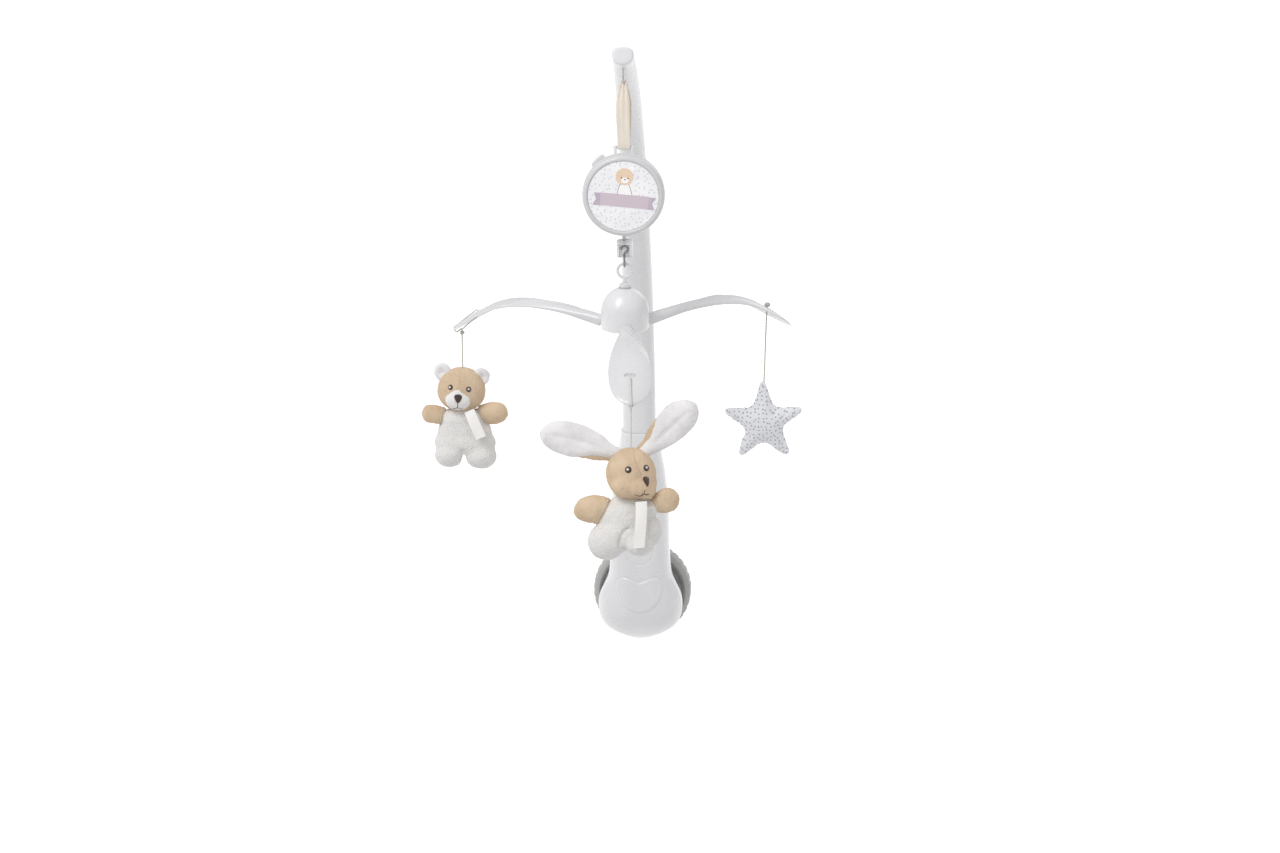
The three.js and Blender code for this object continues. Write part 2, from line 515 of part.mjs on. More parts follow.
// ---------------------------------------------------------------- strings and toys
const BEAR = armAt(2, HANG_R, 0, 0);
const STAR = armAt(1, STAR_HANG_R, 0, 0);
const BUNNY = armAt(0, HANG_R, 0, 0);
const BEAR_HEAD = 260.7;
const STAR_TIP = 244.6;
const BUNNY_HEAD = 256.2;
const KNOT_Z = 293.4;
const string = (name, at, top, bottom) => {
  const g = rod(V(at.x, at.y, bottom + GAP), V(at.x, at.y, top), STRING_R, 8);
  add(name, g, THREAD);
};
// loops round the tips of two arms, through their slots
[[2, 'bear'], [0, 'bunny']].forEach(([k, name]) => {
  const up = (r, lift) => armAt(k, r, 0, armTop(r) + lift);
  const under = (r, drop) => armAt(k, r, 0, armTop(r) - table(THICK, r) - drop);
  const pts = [armAt(k, HANG_R - 0.9, 0, KNOT_Z + 4.5), under(163, 3.4), under(SLOT_R + 0.4, 2), up(SLOT_R + 0.2, 1.6), up(161, 2), up(169, 1.7),
    up(176, 1.7), armAt(k, 180, 0, armTop(178) - 0.6), armAt(k, 177.4, 0, armTop(178) - 4.4), armAt(k, HANG_R + 0.9, 0, KNOT_Z + 4.5)];
  add(`loop_${name}`, wire(pts, STRING_R, 26, 5), THREAD);
  const c = armAt(k, HANG_R, 0, KNOT_Z);
  add(`knot_${name}`, ball(c, 2.3, 2.3, 2.1, 8, 6), THREAD);
});
{
  // the star's string ends in a toggle bead over its slot
  const z = armTop(STAR_HANG_R) + 2.9;
  add('knot_star', ball(V(STAR.x, STAR.y, z), 2.9, 2.9, 2.1, 8, 6), THREAD);
  string('string_star', STAR, z - 2.1 - GAP, STAR_TIP);
}
string('string_bear', BEAR, KNOT_Z - 2.1 - GAP, BEAR_HEAD);
string('string_bunny', BUNNY, KNOT_Z - 2.1 - GAP, BUNNY_HEAD);

{
  const { x, y } = BEAR;
  const lean = (g, px = x, pz = 238) => {
    g.translate(-px, 0, -pz);
    g.rotateY(3.5 * Math.PI / 180);
    g.translate(px, 0, pz);
    return g;
  };
  const head = join(
    ball(V(x - 1.6, y, 239), 22.4, 16, 21.4, 14, 10),
    ball(V(x - 19, y + 1, 256.2), 8.2, 5, 8.2, 10, 8),
    ball(V(x + 19, y + 1, 257), 7.8, 5, 7.8, 14, 10),
    ball(V(x - 2.4, y - 12.5, 231), 11.5, 7, 9.4, 10, 7),
  );
  add('bear_head', head, BEIGE);
  const body = join(
    ball(V(x - 0.5, y, 190), 23.5, 14, 28, 14, 10),
    ball(V(x - 13.5, y - 4, 174.5), 13, 12.5, 10.5, 10, 8),
    ball(V(x + 13.5, y - 4, 172.5), 14, 12.5, 10.5, 10, 8),
    ball(V(x - 23.5, y - 1.5, 210), 16.5, 8.2, 8.8, 10, 7),
    ball(V(x + 24.5, y - 1.5, 210), 17, 8.2, 9, 10, 7),
  );
  const neck = ball(V(x - 1.6, y, 239), 23, 16.6, 22, 14, 10);
  const muzzle = ball(V(x - 2.4, y - 12.5, 231), 12.1, 7.6, 10, 10, 7);
  add('bear_body', cut(body, neck, muzzle), PLUSH);
  add('bear_tag', box(x + 3.5, x + 21.5, y - 18.2, y - 17.4, 190, 214.4), TAG);
}
{
  const { x, y } = STAR;
  // five plump points, 72 degrees apart
  const cz = 207;
  const R = 37.4;
  const r = 21.4;
  const outline = (a) => {
    const n = Math.PI / 5;
    const m = ((a % (2 * n)) + 2 * n) % (2 * n);
    const u = m > n ? 2 * n - m : m; // 0 at a point, n in a hollow
    return (R * r * Math.sin(n)) / (r * Math.sin(n - u) + R * Math.sin(u));
  };
  const star = loft(30, range(0, 1, 7), (a, t) => {
    const e = Math.sin(Math.PI * lerp(0.06, 0.94, t)) ** 0.55;
    const edge = outline(a) * e;
    const half = 13;
    return V(x - 1.5 + edge * Math.sin(a), y + half * power(Math.cos(Math.PI * t), 1.1), cz + edge * Math.cos(a));
  }, (t) => V(x - 1.5, y + 13 * power(Math.cos(Math.PI * t), 1.1), cz));
  add('star_cushion', star, STARCLOTH);
}
{
  const { x, y } = BUNNY;
  // a share of the ear's half-width, from its root to its round end
  const EAR = [[0, 0.42], [0.14, 0.55], [0.3, 0.78], [0.5, 0.98], [0.66, 1], [0.8, 0.93], [0.92, 0.64], [1, 0.16]];
  const ear = (bx, bz, tx, tz, w) => {
    // a flat paddle, narrow at the head
    const a = V(bx, 0, bz);
    const d = V(tx - bx, 0, tz - bz);
    const L = d.length();
    d.normalize();
    const n = V(-d.z, 0, d.x);
    return loft(8, range(0, 1, 7), (ang, t) => {
      const h = w * spline(EAR, t);
      const q = a.clone().addScaledVector(d, L * t).addScaledVector(n, h * Math.cos(ang));
      return V(q.x, y + 3 + 4.6 * power(Math.sin(ang), 0.9) * (t > 0.999 ? 0.5 : 1), q.z);
    }, (t) => {
      const q = a.clone().addScaledVector(d, L * t);
      return V(q.x, y + 3, q.z);
    });
  };
  const hx = x - 0.4;
  const head = join(
    ball(V(hx, y, 232), 22.6, 18, 24, 14, 10),
    ear(x - 12, 246, x - 79.2, 268.6, 15),
    ear(x + 10, 247, x + 58.4, 288.6, 14.6),
    ball(V(hx + 8, y - 14, 223.5), 11.5, 7.5, 9.5, 10, 7),
  );
  add('bunny_head', head, BEIGE);
  const body = join(
    ball(V(x - 5, y, 183), 24, 15, 27, 14, 10),
    ball(V(x - 24, y - 5, 165), 15, 14.5, 15, 10, 8),
    ball(V(x + 12, y - 5, 168.5), 16.4, 14.5, 12.6, 10, 8),
    ball(V(x - 32, y - 2, 197), 19, 9, 10.6, 10, 7),
    ball(V(x + 23, y - 2, 202.5), 20.5, 9, 10, 10, 7),
  );
  const neck = ball(V(hx, y, 232), 23.2, 18.6, 24.6, 14, 10);
  const muzzle = ball(V(hx + 8, y - 14, 223.5), 12.1, 8.1, 10.1, 10, 7);
  add('bunny_body', cut(body, neck, muzzle), PLUSH);
  add('bunny_tag', box(x + 4.5, x + 14, y - 22.4, y - 21.6, 168, 208), TAG);
}

export default group;
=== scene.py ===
# Looks of the crib mobile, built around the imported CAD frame. Blender 4.5.
# Lengths in this file are millimetres in the row frame unless a name says otherwise; MM turns them into metres.
import bpy
import math
import numpy as np
from mathutils import Matrix, Vector, noise


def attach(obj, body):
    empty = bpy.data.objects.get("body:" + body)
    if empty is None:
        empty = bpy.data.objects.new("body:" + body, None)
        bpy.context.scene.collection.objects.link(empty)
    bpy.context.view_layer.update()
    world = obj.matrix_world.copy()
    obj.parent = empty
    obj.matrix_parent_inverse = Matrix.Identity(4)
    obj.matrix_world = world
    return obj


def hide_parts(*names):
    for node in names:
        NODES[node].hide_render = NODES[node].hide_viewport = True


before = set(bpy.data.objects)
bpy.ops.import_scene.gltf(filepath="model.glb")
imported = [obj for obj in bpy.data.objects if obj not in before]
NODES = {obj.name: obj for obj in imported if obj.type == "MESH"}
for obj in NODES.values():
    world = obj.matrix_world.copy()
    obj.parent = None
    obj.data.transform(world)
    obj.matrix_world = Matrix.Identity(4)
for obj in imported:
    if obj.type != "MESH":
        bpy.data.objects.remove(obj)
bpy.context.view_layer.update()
SCENE = bpy.context.scene
COLLECTION = SCENE.collection
MM = 0.001
TAU = 2 * math.pi

# ------------------------------------------------------------------ dimensions shared with the CAD model
GAP = 0.35
STUD_Z, STUD_R = -35, 5
RAIL = 22
BACK_Y0, BACK_Y1 = -3.3, -9.0
POST_TOP = 146
NUT_R, NUT_T = 49, 21
ARC_Y, ARC_Z, ARC_R, ARC_END = -6, 146 + GAP, 468, math.radians(66.3)
REACH, HOOK_Z, BAIL_Z, BOX_Z, BOX_R, EYE_Z = -280, 541, 484.2, 443, 37, 371.2
BOX_FRONT, BOX_BACK = REACH - 17, REACH + 15
HUB_R, HUB_BOTTOM, HUB_TOP = 21.7, 318, 356
SPIDER_TURN = math.radians(4.5)
STRING_R, HANG_R, STAR_HANG_R, SLOT_R, KNOT_Z = 0.7, 171.5, 154.5, 154.5, 293.4
BEAR_HEAD, STAR_TIP, BUNNY_HEAD = 260.7, 244.6, 256.2
WIDTH = [[-70.8, 4], [-69.6, 9.5], [-67, 16.5], [-63, 25.5], [-58, 33], [-52, 37.9], [-45, 40.7], [-35, 41.8], [-25, 40.5],
         [-14, 35.6], [-5, 32], [5, 30.4], [20, 29.5], [40, 29], [67, 28.4], [97, 25.8], [117, 22.6], [132, 20], [146, 18.3]]
DEPTH = [[-70.8, 6], [-67, 13], [-60, 20], [-50, 26], [-35, 30], [0, 29.5], [60, 28], [146, 24.5]]
ARM_W = [[0, 16.2], [.1, 16], [.3, 14.6], [.55, 12.6], [.78, 11.2], [1, 9.5]]
ARM_D = [[0, 23], [.3, 21.5], [.7, 18.5], [1, 16.2]]
TOP = [[9, 327], [22, 327.5], [43, 330.5], [60, 332.6], [80, 334], [102, 334], [120, 331.6], [135, 326.6], [147, 320],
       [160, 312], [170, 304.6], [178, 297.8]]
HALF = [[9, 4.4], [20, 5.2], [43, 6.4], [70, 7.8], [105, 12.8], [135, 18], [147, 19], [160, 18], [168, 15.2], [173, 11.8],
        [176.5, 7.4], [178, 3.4]]
THICK = [[22.5, 6.2], [24.5, 10.2], [43, 8.6], [60, 6.8], [90, 4.6], [130, 2.9], [178, 2.2]]
CROWN = [[9, .6], [60, 1.6], [100, 2.6], [140, 4], [165, 3.2], [178, .6]]


# ------------------------------------------------------------------ small maths
def spline(rows, x):
    n = len(rows)
    if x <= rows[0][0]:
        return rows[0][1]
    if x >= rows[n - 1][0]:
        return rows[n - 1][1]
    i = 1
    while x > rows[i][0]:
        i += 1

    def slope(k):
        a, b = max(k - 1, 0), min(k + 1, n - 1)
        return (rows[b][1] - rows[a][1]) / (rows[b][0] - rows[a][0])
    x0, y0 = rows[i - 1]
    x1, y1 = rows[i]
    h = x1 - x0
    t = (x - x0) / h
    return ((2 * t ** 3 - 3 * t ** 2 + 1) * y0 + (t ** 3 - 2 * t ** 2 + t) * h * slope(i - 1)
            + (-2 * t ** 3 + 3 * t ** 2) * y1 + (t ** 3 - t ** 2) * h * slope(i))


def table(rows, x):
    return float(np.interp(x, [r[0] for r in rows], [r[1] for r in rows]))


def power(v, e):
    return math.copysign(abs(v) ** e, v)


def smoothstep(a, b, x):
    t = min(1.0, max(0.0, (x - a) / (b - a)))
    return t * t * (3 - 2 * t)


def vsmooth(a, b, x):
    t = np.clip((x - a) / (b - a), 0, 1)
    return t * t * (3 - 2 * t)


def turn(k):
    a = SPIDER_TURN + k * TAU / 3
    return math.sin(a), -math.cos(a)


def arm_at(k, r, side, z):
    dx, dy = turn(k)
    return (dx * r - dy * side, REACH + dy * r + dx * side, z)


def arm_top(r):
    return spline(TOP, r)


def catmull(points, n):
    """n points at equal steps along a smooth curve through points."""
    p = np.array(points, float)
    p = np.vstack([2 * p[0] - p[1], p, 2 * p[-1] - p[-2]])
    out = []
    for i in range(1, len(p) - 2):
        a, b, c, d = p[i - 1], p[i], p[i + 1], p[i + 2]
        for t in np.linspace(0, 1, 24, endpoint=False):
            out.append(0.5 * ((2 * b) + (c - a) * t + (2 * a - 5 * b + 4 * c - d) * t * t + (3 * b - a - 3 * c + d) * t ** 3))
    out.append(p[-2])
    return even(out, n)


def even(line, n):
    line = np.array(line, float)
    d = np.r_[0, np.cumsum(np.linalg.norm(np.diff(line, axis=0), axis=1))]
    s = np.linspace(0, d[-1], n)
    return np.stack([np.interp(s, d, line[:, k]) for k in range(3)], 1)


# ------------------------------------------------------------------ mesh helpers
def mesh_object(name, verts, faces, sharp=None):
    me = bpy.data.meshes.new(name)
    me.from_pydata((np.asarray(verts, float) * MM).tolist(), [], faces)
    me.validate()
    me.update()
    o = bpy.data.objects.new(name, me)
    COLLECTION.objects.link(o)
    outward(o)
    smooth(o, sharp)
    return o


def smooth(o, sharp=None):
    me = o.data
    me.polygons.foreach_set("use_smooth", np.ones(len(me.polygons), bool))
    if sharp is not None:
        me.set_sharp_from_angle(angle=math.radians(sharp))
    me.update()


def arrays(o):
    me = o.data
    co = np.zeros(len(me.vertices) * 3)
    me.vertices.foreach_get("co", co)
    return co.reshape(-1, 3) / MM


def put(o, co):
    o.data.vertices.foreach_set("co", (np.asarray(co) * MM).ravel())
    o.data.update()


def normals(o):
    me = o.data
    n = np.zeros(len(me.vertices) * 3, np.float32)
    me.vertices.foreach_get("normal", n)
    return n.reshape(-1, 3).astype(float)


def outward(o):
    me = o.data
    me.calc_loop_triangles()
    t = np.zeros(len(me.loop_triangles) * 3, int)
    me.loop_triangles.foreach_get("vertices", t)
    co = arrays(o)
    co = co - co.mean(0)
    a, b, c = co[t.reshape(-1, 3)].transpose(1, 0, 2)
    if (a * np.cross(b, c)).sum() < 0:
        me.flip_normals()


def grid_faces(m, n, wrap=True):
    i, j = np.meshgrid(np.arange(m - 1), np.arange(n if wrap else n - 1), indexing="ij")
    k = (j + 1) % n
    return np.stack([i * n + j, i * n + k, (i + 1) * n + k, (i + 1) * n + j], -1).reshape(-1, 4).tolist()


def skin(name, rings, ends=True, sharp=None):
    """A closed skin over rings of points. ends=True closes both ends on their middle."""
    r = np.asarray(rings, float)
    m, n, _ = r.shape
    verts = r.reshape(-1, 3).tolist()
    faces = grid_faces(m, n)
    if ends:
        for ring in (0, m - 1):
            verts.append(r[ring].mean(0).tolist())
            c = len(verts) - 1
            faces += [[ring * n + j, c, ring * n + (j + 1) % n] if ring == 0 else [ring * n + (j + 1) % n, c, ring * n + j] for j in range(n)]
    return mesh_object(name, verts, faces, sharp)


def fillet(points, radius, seg=4, closed=False):
    """Rounds the corners of a 2-D outline. radius is one number or one per point."""
    p = [np.array(q, float) for q in points]
    n = len(p)
    rad = radius if hasattr(radius, "__len__") else [radius] * n
    out = []
    for i in range(n):
        if not closed and i in (0, n - 1):
            out.append(p[i])
            continue
        a, b, c = p[i - 1], p[i], p[(i + 1) % n]
        la, lc = np.linalg.norm(a - b), np.linalg.norm(c - b)
        d = min(rad[i], 0.45 * la, 0.45 * lc)
        if d < 1e-3:
            out.append(b)
            continue
        s, e = b + (a - b) / la * d, b + (c - b) / lc * d
        for t in np.linspace(0, 1, seg + 1):
            out.append((1 - t) ** 2 * s + 2 * t * (1 - t) * b + t * t * e)
    return np.array(out)


def turned(name, profile, centre, axis="z", sides=96, round_by=0.35, closed=False, seg=3, sharp=40, wave=None):
    """A turned body. profile is [radius, along] pairs; it starts and ends on the axis unless closed."""
    p = fillet(profile, round_by, seg, closed) if round_by else np.array(profile, float)
    a = np.arange(sides) / sides * TAU
    rings = []
    for r, h in p:
        rr = np.full(sides, r) if wave is None else r + wave(r, h, a)
        if axis == "z":
            ring = np.stack([rr * np.cos(a), rr * np.sin(a), np.full(sides, h)], 1)
        else:
            ring = np.stack([rr * np.cos(a), np.full(sides, h), rr * np.sin(a)], 1)
        rings.append(ring + np.array(centre))
    rings = np.array(rings)
    if closed:
        m, n = rings.shape[:2]
        verts = rings.reshape(-1, 3)
        faces = grid_faces(m, n)
        last = (m - 1) * n
        faces += [[last + j, last + (j + 1) % n, (j + 1) % n, j] for j in range(n)]
        return mesh_object(name, verts, faces, sharp)
    on0, on1 = p[0][0] < 1e-6, p[-1][0] < 1e-6
    body = rings[1 if on0 else 0:len(rings) - (1 if on1 else 0)]
    m, n = body.shape[:2]
    verts = body.reshape(-1, 3).tolist()
    faces = grid_faces(m, n)
    for first, on in ((True, on0), (False, on1)):
        ring = 0 if first else m - 1
        verts.append((rings[0].mean(0) if first else rings[-1].mean(0)).tolist())
        c = len(verts) - 1
        faces += [[ring * n + j, c, ring * n + (j + 1) % n] if first else [ring * n + (j + 1) % n, c, ring * n + j] for j in range(n)]
    return mesh_object(name, verts, faces, sharp)


def frames(line):
    """Tangent, side and up of each point of a line, without twist."""
    line = np.asarray(line, float)
    t = np.gradient(line, axis=0)
    t /= np.linalg.norm(t, axis=1)[:, None]
    ref = np.array([1.0, 0, 0]) if abs(t[0][0]) < 0.9 else np.array([0, 1.0, 0])
    u = ref - t[0] * (ref @ t[0])
    u /= np.linalg.norm(u)
    us = [u]
    for i in range(1, len(line)):
        u = us[-1] - t[i] * (us[-1] @ t[i])
        us.append(u / np.linalg.norm(u))
    us = np.array(us)
    return t, us, np.cross(t, us)


def tube(name, points, r, sides=20, steps=60, rope=0.0, pitch=2.2, dome=True, taper=None, resample=True):
    """A round wire, or a two-ply twisted cord when rope is above 0, along a smooth line."""
    line = catmull(points, steps) if resample else np.asarray(points, float)
    t, u, w = frames(line)
    run = np.r_[0, np.cumsum(np.linalg.norm(np.diff(line, axis=0), axis=1))]
    a = np.arange(sides) / sides * TAU
    rings = []
    for i, p in enumerate(line):
        k = r * (taper(run[i] / run[-1]) if taper else 1)
        rr = k * (1 - rope + rope * np.abs(np.cos(a * 1.0 - math.pi * run[i] / pitch))) if rope else np.full(sides, k)
        rings.append(p + np.outer(rr * np.cos(a), u[i]) + np.outer(rr * np.sin(a), w[i]))
    if dome:
        first = [line[0] + (ring0 - line[0]) * c - t[0] * r * s for c, s in ((0.35, 0.9), (0.75, 0.62)) for ring0 in [rings[0]]]
        last = [line[-1] + (ringn - line[-1]) * c + t[-1] * r * s for c, s in ((0.75, 0.62), (0.35, 0.9)) for ringn in [rings[-1]]]
        rings = first + rings + last
    return skin(name, rings)


def ball(name, c, r, seg=48, rings=32):
    """An ellipsoid with even rings, as a start for sculpted shapes."""
    th = np.linspace(0.06, math.pi - 0.06, rings)
    a = np.arange(seg) / seg * TAU
    body = [[(c[0] + r[0] * math.sin(q) * math.cos(b), c[1] + r[1] * math.sin(q) * math.sin(b), c[2] + r[2] * math.cos(q)) for b in a] for q in th]
    return skin(name, body)


def cutter_box(name, lo, hi):
    x0, y0, z0 = lo
    x1, y1, z1 = hi
    v = [(x0, y0, z0), (x1, y0, z0), (x1, y1, z0), (x0, y1, z0), (x0, y0, z1), (x1, y0, z1), (x1, y1, z1), (x0, y1, z1)]
    f = [[0, 3, 2, 1], [4, 5, 6, 7], [0, 1, 5, 4], [1, 2, 6, 5], [2, 3, 7, 6], [3, 0, 4, 7]]
    return mesh_object(name, v, f)


def boolean(o, cutters, op="DIFFERENCE", sharp=40):
    for c in cutters:
        m = o.modifiers.new("cut", "BOOLEAN")
        m.object = c
        m.operation = op
        m.solver = "EXACT"
    settle(o)
    for c in cutters:
        me = c.data
        bpy.data.objects.remove(c)
        bpy.data.meshes.remove(me)
    smooth(o, sharp)
    return o


def settle(o):
    """Applies every modifier."""
    bpy.context.view_layer.update()
    me = bpy.data.meshes.new_from_object(o.evaluated_get(bpy.context.evaluated_depsgraph_get()))
    o.modifiers.clear()
    old = o.data
    o.data = me
    me.name = o.name
    bpy.data.meshes.remove(old)
    return o


def joined(name, objects):
    """One object that holds the separate closed bodies of several."""
    verts, faces, base = [], [], 0
    for o in objects:
        co = arrays(o)
        verts.append(co)
        faces += [[v + base for v in p.vertices] for p in o.data.polygons]
        base += len(co)
        me = o.data
        bpy.data.objects.remove(o)
        bpy.data.meshes.remove(me)
    me = bpy.data.meshes.new(name)
    me.from_pydata((np.vstack(verts) * MM).tolist(), [], faces)
    me.update()
    o = bpy.data.objects.new(name, me)
    COLLECTION.objects.link(o)
    smooth(o)
    return o


def remeshed(o, voxel, relax=0, factor=0.5):
    m = o.modifiers.new("remesh", "REMESH")
    m.mode = "VOXEL"
    m.voxel_size = voxel * MM
    if relax:
        s = o.modifiers.new("relax", "SMOOTH")
        s.iterations = relax
        s.factor = factor
    settle(o)
    smooth(o)
    return o


def fbm(co, size, octaves=3, seed=0.0):
    """Smooth noise of a given feature size in mm, about -1 to 1, at each point."""
    out = np.zeros(len(co))
    amp = 1.0
    for k in range(octaves):
        s = (2 ** k) / size
        off = seed + 17.3 * k
        out += amp * np.array([noise.noise(Vector((p[0] * s + off, p[1] * s - off, p[2] * s + 2 * off))) for p in co])
        amp *= 0.5
    return out


# ------------------------------------------------------------------ materials
def srgb(r, g, b):
    return tuple(((c / 255) / 12.92 if c / 255 <= 0.04045 else ((c / 255 + 0.055) / 1.055) ** 2.4) for c in (r, g, b)) + (1.0,)


class Mat:
    def __init__(self, name, color, rough=0.5, metal=0.0, **sockets):
        self.m = bpy.data.materials.new(name)
        self.m.use_nodes = True
        self.t = self.m.node_tree
        self.b = self.t.nodes["Principled BSDF"]
        self.color = color
        self.b.inputs["Base Color"].default_value = color
        self.b.inputs["Roughness"].default_value = rough
        self.b.inputs["Metallic"].default_value = metal
        for k, v in sockets.items():
            self.b.inputs[k.replace("_", " ")].default_value = v
        self.co = self.add("ShaderNodeTexCoord").outputs["Object"]

    def add(self, kind, **props):
        n = self.t.nodes.new(kind)
        for k, v in props.items():
            setattr(n, k, v)
        return n

    def link(self, a, b):
        self.t.links.new(a, b)

    def mapping(self, scale=(1, 1, 1), rot=(0, 0, 0), loc=(0, 0, 0), src=None):
        n = self.add("ShaderNodeMapping")
        n.inputs["Scale"].default_value = scale
        n.inputs["Rotation"].default_value = rot
        n.inputs["Location"].default_value = loc
        self.link(src or self.co, n.inputs["Vector"])
        return n.outputs["Vector"]

    def noise(self, scale, detail=3, rough=0.55, src=None, distortion=0.0):
        n = self.add("ShaderNodeTexNoise")
        n.inputs["Scale"].default_value = scale
        n.inputs["Detail"].default_value = detail
        n.inputs["Roughness"].default_value = rough
        n.inputs["Distortion"].default_value = distortion
        self.link(src or self.co, n.inputs["Vector"])
        return n.outputs["Fac"]

    def voronoi(self, scale, src=None, feature="F1", randomness=1.0, dims="3D", smoothness=None):
        n = self.add("ShaderNodeTexVoronoi", feature=feature, voronoi_dimensions=dims)
        n.inputs["Scale"].default_value = scale
        n.inputs["Randomness"].default_value = randomness
        self.link(src or self.co, n.inputs["Vector"])
        return n.outputs["Distance"]

    def wave(self, scale, src=None, direction="X", distortion=0.0, profile="SIN"):
        n = self.add("ShaderNodeTexWave", bands_direction=direction, wave_profile=profile)
        n.inputs["Scale"].default_value = scale
        n.inputs["Distortion"].default_value = distortion
        self.link(src or self.co, n.inputs["Vector"])
        return n.outputs["Fac"]

    def ramp(self, src, lo, hi, a=0.0, b=1.0, smooth_it=True):
        n = self.add("ShaderNodeMapRange", interpolation_type="SMOOTHSTEP" if smooth_it else "LINEAR")
        n.inputs["From Min"].default_value = lo
        n.inputs["From Max"].default_value = hi
        n.inputs["To Min"].default_value = a
        n.inputs["To Max"].default_value = b
        self.link(src, n.inputs["Value"])
        return n.outputs["Result"]

    def math(self, op, a, b=None):
        n = self.add("ShaderNodeMath", operation=op)
        for i, v in enumerate((a, b)):
            if v is None:
                continue
            if isinstance(v, (int, float)):
                n.inputs[i].default_value = v
            else:
                self.link(v, n.inputs[i])
        return n.outputs[0]

    def mix(self, fac, a, b):
        n = self.add("ShaderNodeMix", data_type="RGBA")
        self.link(fac, n.inputs["Factor"])
        for i, v in ((6, a), (7, b)):
            if isinstance(v, tuple):
                n.inputs[i].default_value = v
            else:
                self.link(v, n.inputs[i])
        return n.outputs[2]

    def base(self, out):
        self.link(out, self.b.inputs["Base Color"])

    def rough(self, out):
        self.link(out, self.b.inputs["Roughness"])

    def bump(self, height, distance, strength=1.0):
        n = self.add("ShaderNodeBump")
        n.inputs["Distance"].default_value = distance * MM
        n.inputs["Strength"].default_value = strength
        self.link(height, n.inputs["Height"])
        if getattr(self, "_bump", None) is not None:
            self.link(self._bump, n.inputs["Normal"])
        self._bump = n.outputs["Normal"]
        self.link(self._bump, self.b.inputs["Normal"])


def shade(c, k):
    return tuple(min(1.0, x * k) for x in c[:3]) + (1.0,)


def plastic(name, color, rough, coat=0.0, grain=0.02, **sockets):
    """Moulded plastic: a faint mould texture, flow marks, and convex edges painted slightly paler as a highlight."""
    m = Mat(name, color, rough, **sockets)
    flow = m.noise(28, 4, 0.5, m.mapping((1, 1, 0.35)))
    cloud = m.mix(m.ramp(flow, 0.3, 0.7), shade(color, 0.965), shade(color, 1.015))
    geo = m.add("ShaderNodeNewGeometry")
    # painted highlight: convex edges (high pointiness) are mixed toward a paler copy of the colour
    edge = m.ramp(geo.outputs["Pointiness"], 0.505, 0.56, 0, 0.55)
    m.base(m.mix(edge, cloud, shade(color, 1.09)))
    m.rough(m.ramp(m.noise(420, 4, 0.6), 0.3, 0.75, rough - 0.045, rough + 0.06))
    m.bump(m.noise(2600, 2, 0.5), grain, 0.6)
    m.bump(m.noise(90, 2, 0.4), 0.05, 0.25)
    m.b.inputs["Coat Weight"].default_value = coat
    m.b.inputs["Coat Roughness"].default_value = 0.12
    return m.m


def metal(name, color, rough, axis=(1, 1, 14), scratch=0.02):
    m = Mat(name, color, rough, 1.0)
    brushed = m.noise(700, 3, 0.6, m.mapping(axis))
    m.base(m.mix(m.ramp(m.noise(160, 3), 0.35, 0.7), shade(color, 0.86), shade(color, 1.06)))
    m.rough(m.ramp(brushed, 0.3, 0.75, rough - 0.07, rough + 0.14))
    m.bump(brushed, scratch, 0.5)
    return m.m


WHITE = plastic("white_plastic", srgb(221, 221, 223), 0.3, 0.25)
ARM = plastic("arm_plastic", srgb(212, 212, 214), 0.28, 0.2)
WHITE2 = plastic("white_plastic_satin", srgb(219, 219, 222), 0.38, 0.1)
RINGMAT = plastic("pale_grey_plastic", srgb(207, 207, 209), 0.34, 0.15)
GREY = plastic("grey_plastic", srgb(176, 175, 173), 0.52, 0.0, 0.05)
CLEAR = plastic("clear_plastic", srgb(240, 241, 243), 0.16, 0.3, 0.008, Transmission_Weight=0.42, IOR=1.42)
MILKY = plastic("milky_plastic", srgb(232, 233, 235), 0.2, 0.3, 0.008, Transmission_Weight=0.25, IOR=1.46)
STEEL = metal("bright_steel", srgb(206, 206, 209), 0.28)
STEEL_DARK = metal("movement_steel", srgb(150, 150, 152), 0.34, (14, 1, 1))
BRASS = metal("brass", srgb(206, 172, 98), 0.28)


def rubber():
    m = Mat("rubber", srgb(138, 138, 138), 0.82)
    m.base(m.mix(m.ramp(m.noise(60, 4), 0.3, 0.7), srgb(128, 128, 129), srgb(150, 149, 148)))
    m.rough(m.ramp(m.noise(500, 3), 0.3, 0.7, 0.74, 0.9))
    m.bump(m.noise(1800, 3), 0.05, 0.6)
    return m.m


def plush(name, color, shadow, pile=1500, depth=0.35, sheen=0.5, curl=0.0):
    """Short pile: fibre tufts, a nap that leans in patches, and painted shade in the low parts between the tufts."""
    m = Mat(name, color, 0.92, Sheen_Weight=sheen, Sheen_Roughness=0.45, Sheen_Tint=shade(color, 1.12), Specular_IOR_Level=0.25)
    lean = m.noise(70, 3, 0.5)
    tuft = m.noise(pile, 3, 0.7, m.mapping((1, 1, 0.55)), 0.6)
    fine = m.noise(pile * 2.4, 2, 0.6)
    if curl:
        loops = m.voronoi(curl, feature="SMOOTH_F1")
        mixed = m.math("ADD", m.math("MULTIPLY", m.math("SUBTRACT", 1.0, loops), 0.6), m.math("MULTIPLY", tuft, 0.4))
    else:
        mixed = tuft
    # painted shade: the low parts between tufts and boucle loops take the shadow colour
    dark = m.mix(m.ramp(mixed, 0.3, 0.62), shadow, color)
    m.base(m.mix(m.ramp(lean, 0.35, 0.68), dark, shade(color, 1.05)) if not curl else m.mix(m.ramp(lean, 0.3, 0.75, 0, 0.45), dark, shade(color, 1.03)))
    m.rough(m.ramp(fine, 0.3, 0.7, 0.84, 0.98))
    m.bump(mixed, depth, 0.8)
    m.bump(fine, depth * 0.35, 0.6)
    return m.m


BEIGE = plush("beige_plush", srgb(209, 187, 160), srgb(190, 164, 134), 1350, 0.4, 0.45)
PLUSH = plush("white_boucle", srgb(222, 220, 218), srgb(208, 206, 204), 1100, 0.4, 0.35, 900)
EARWHITE = plush("white_velour", srgb(229, 227, 228), srgb(211, 209, 210), 1800, 0.2, 0.4)


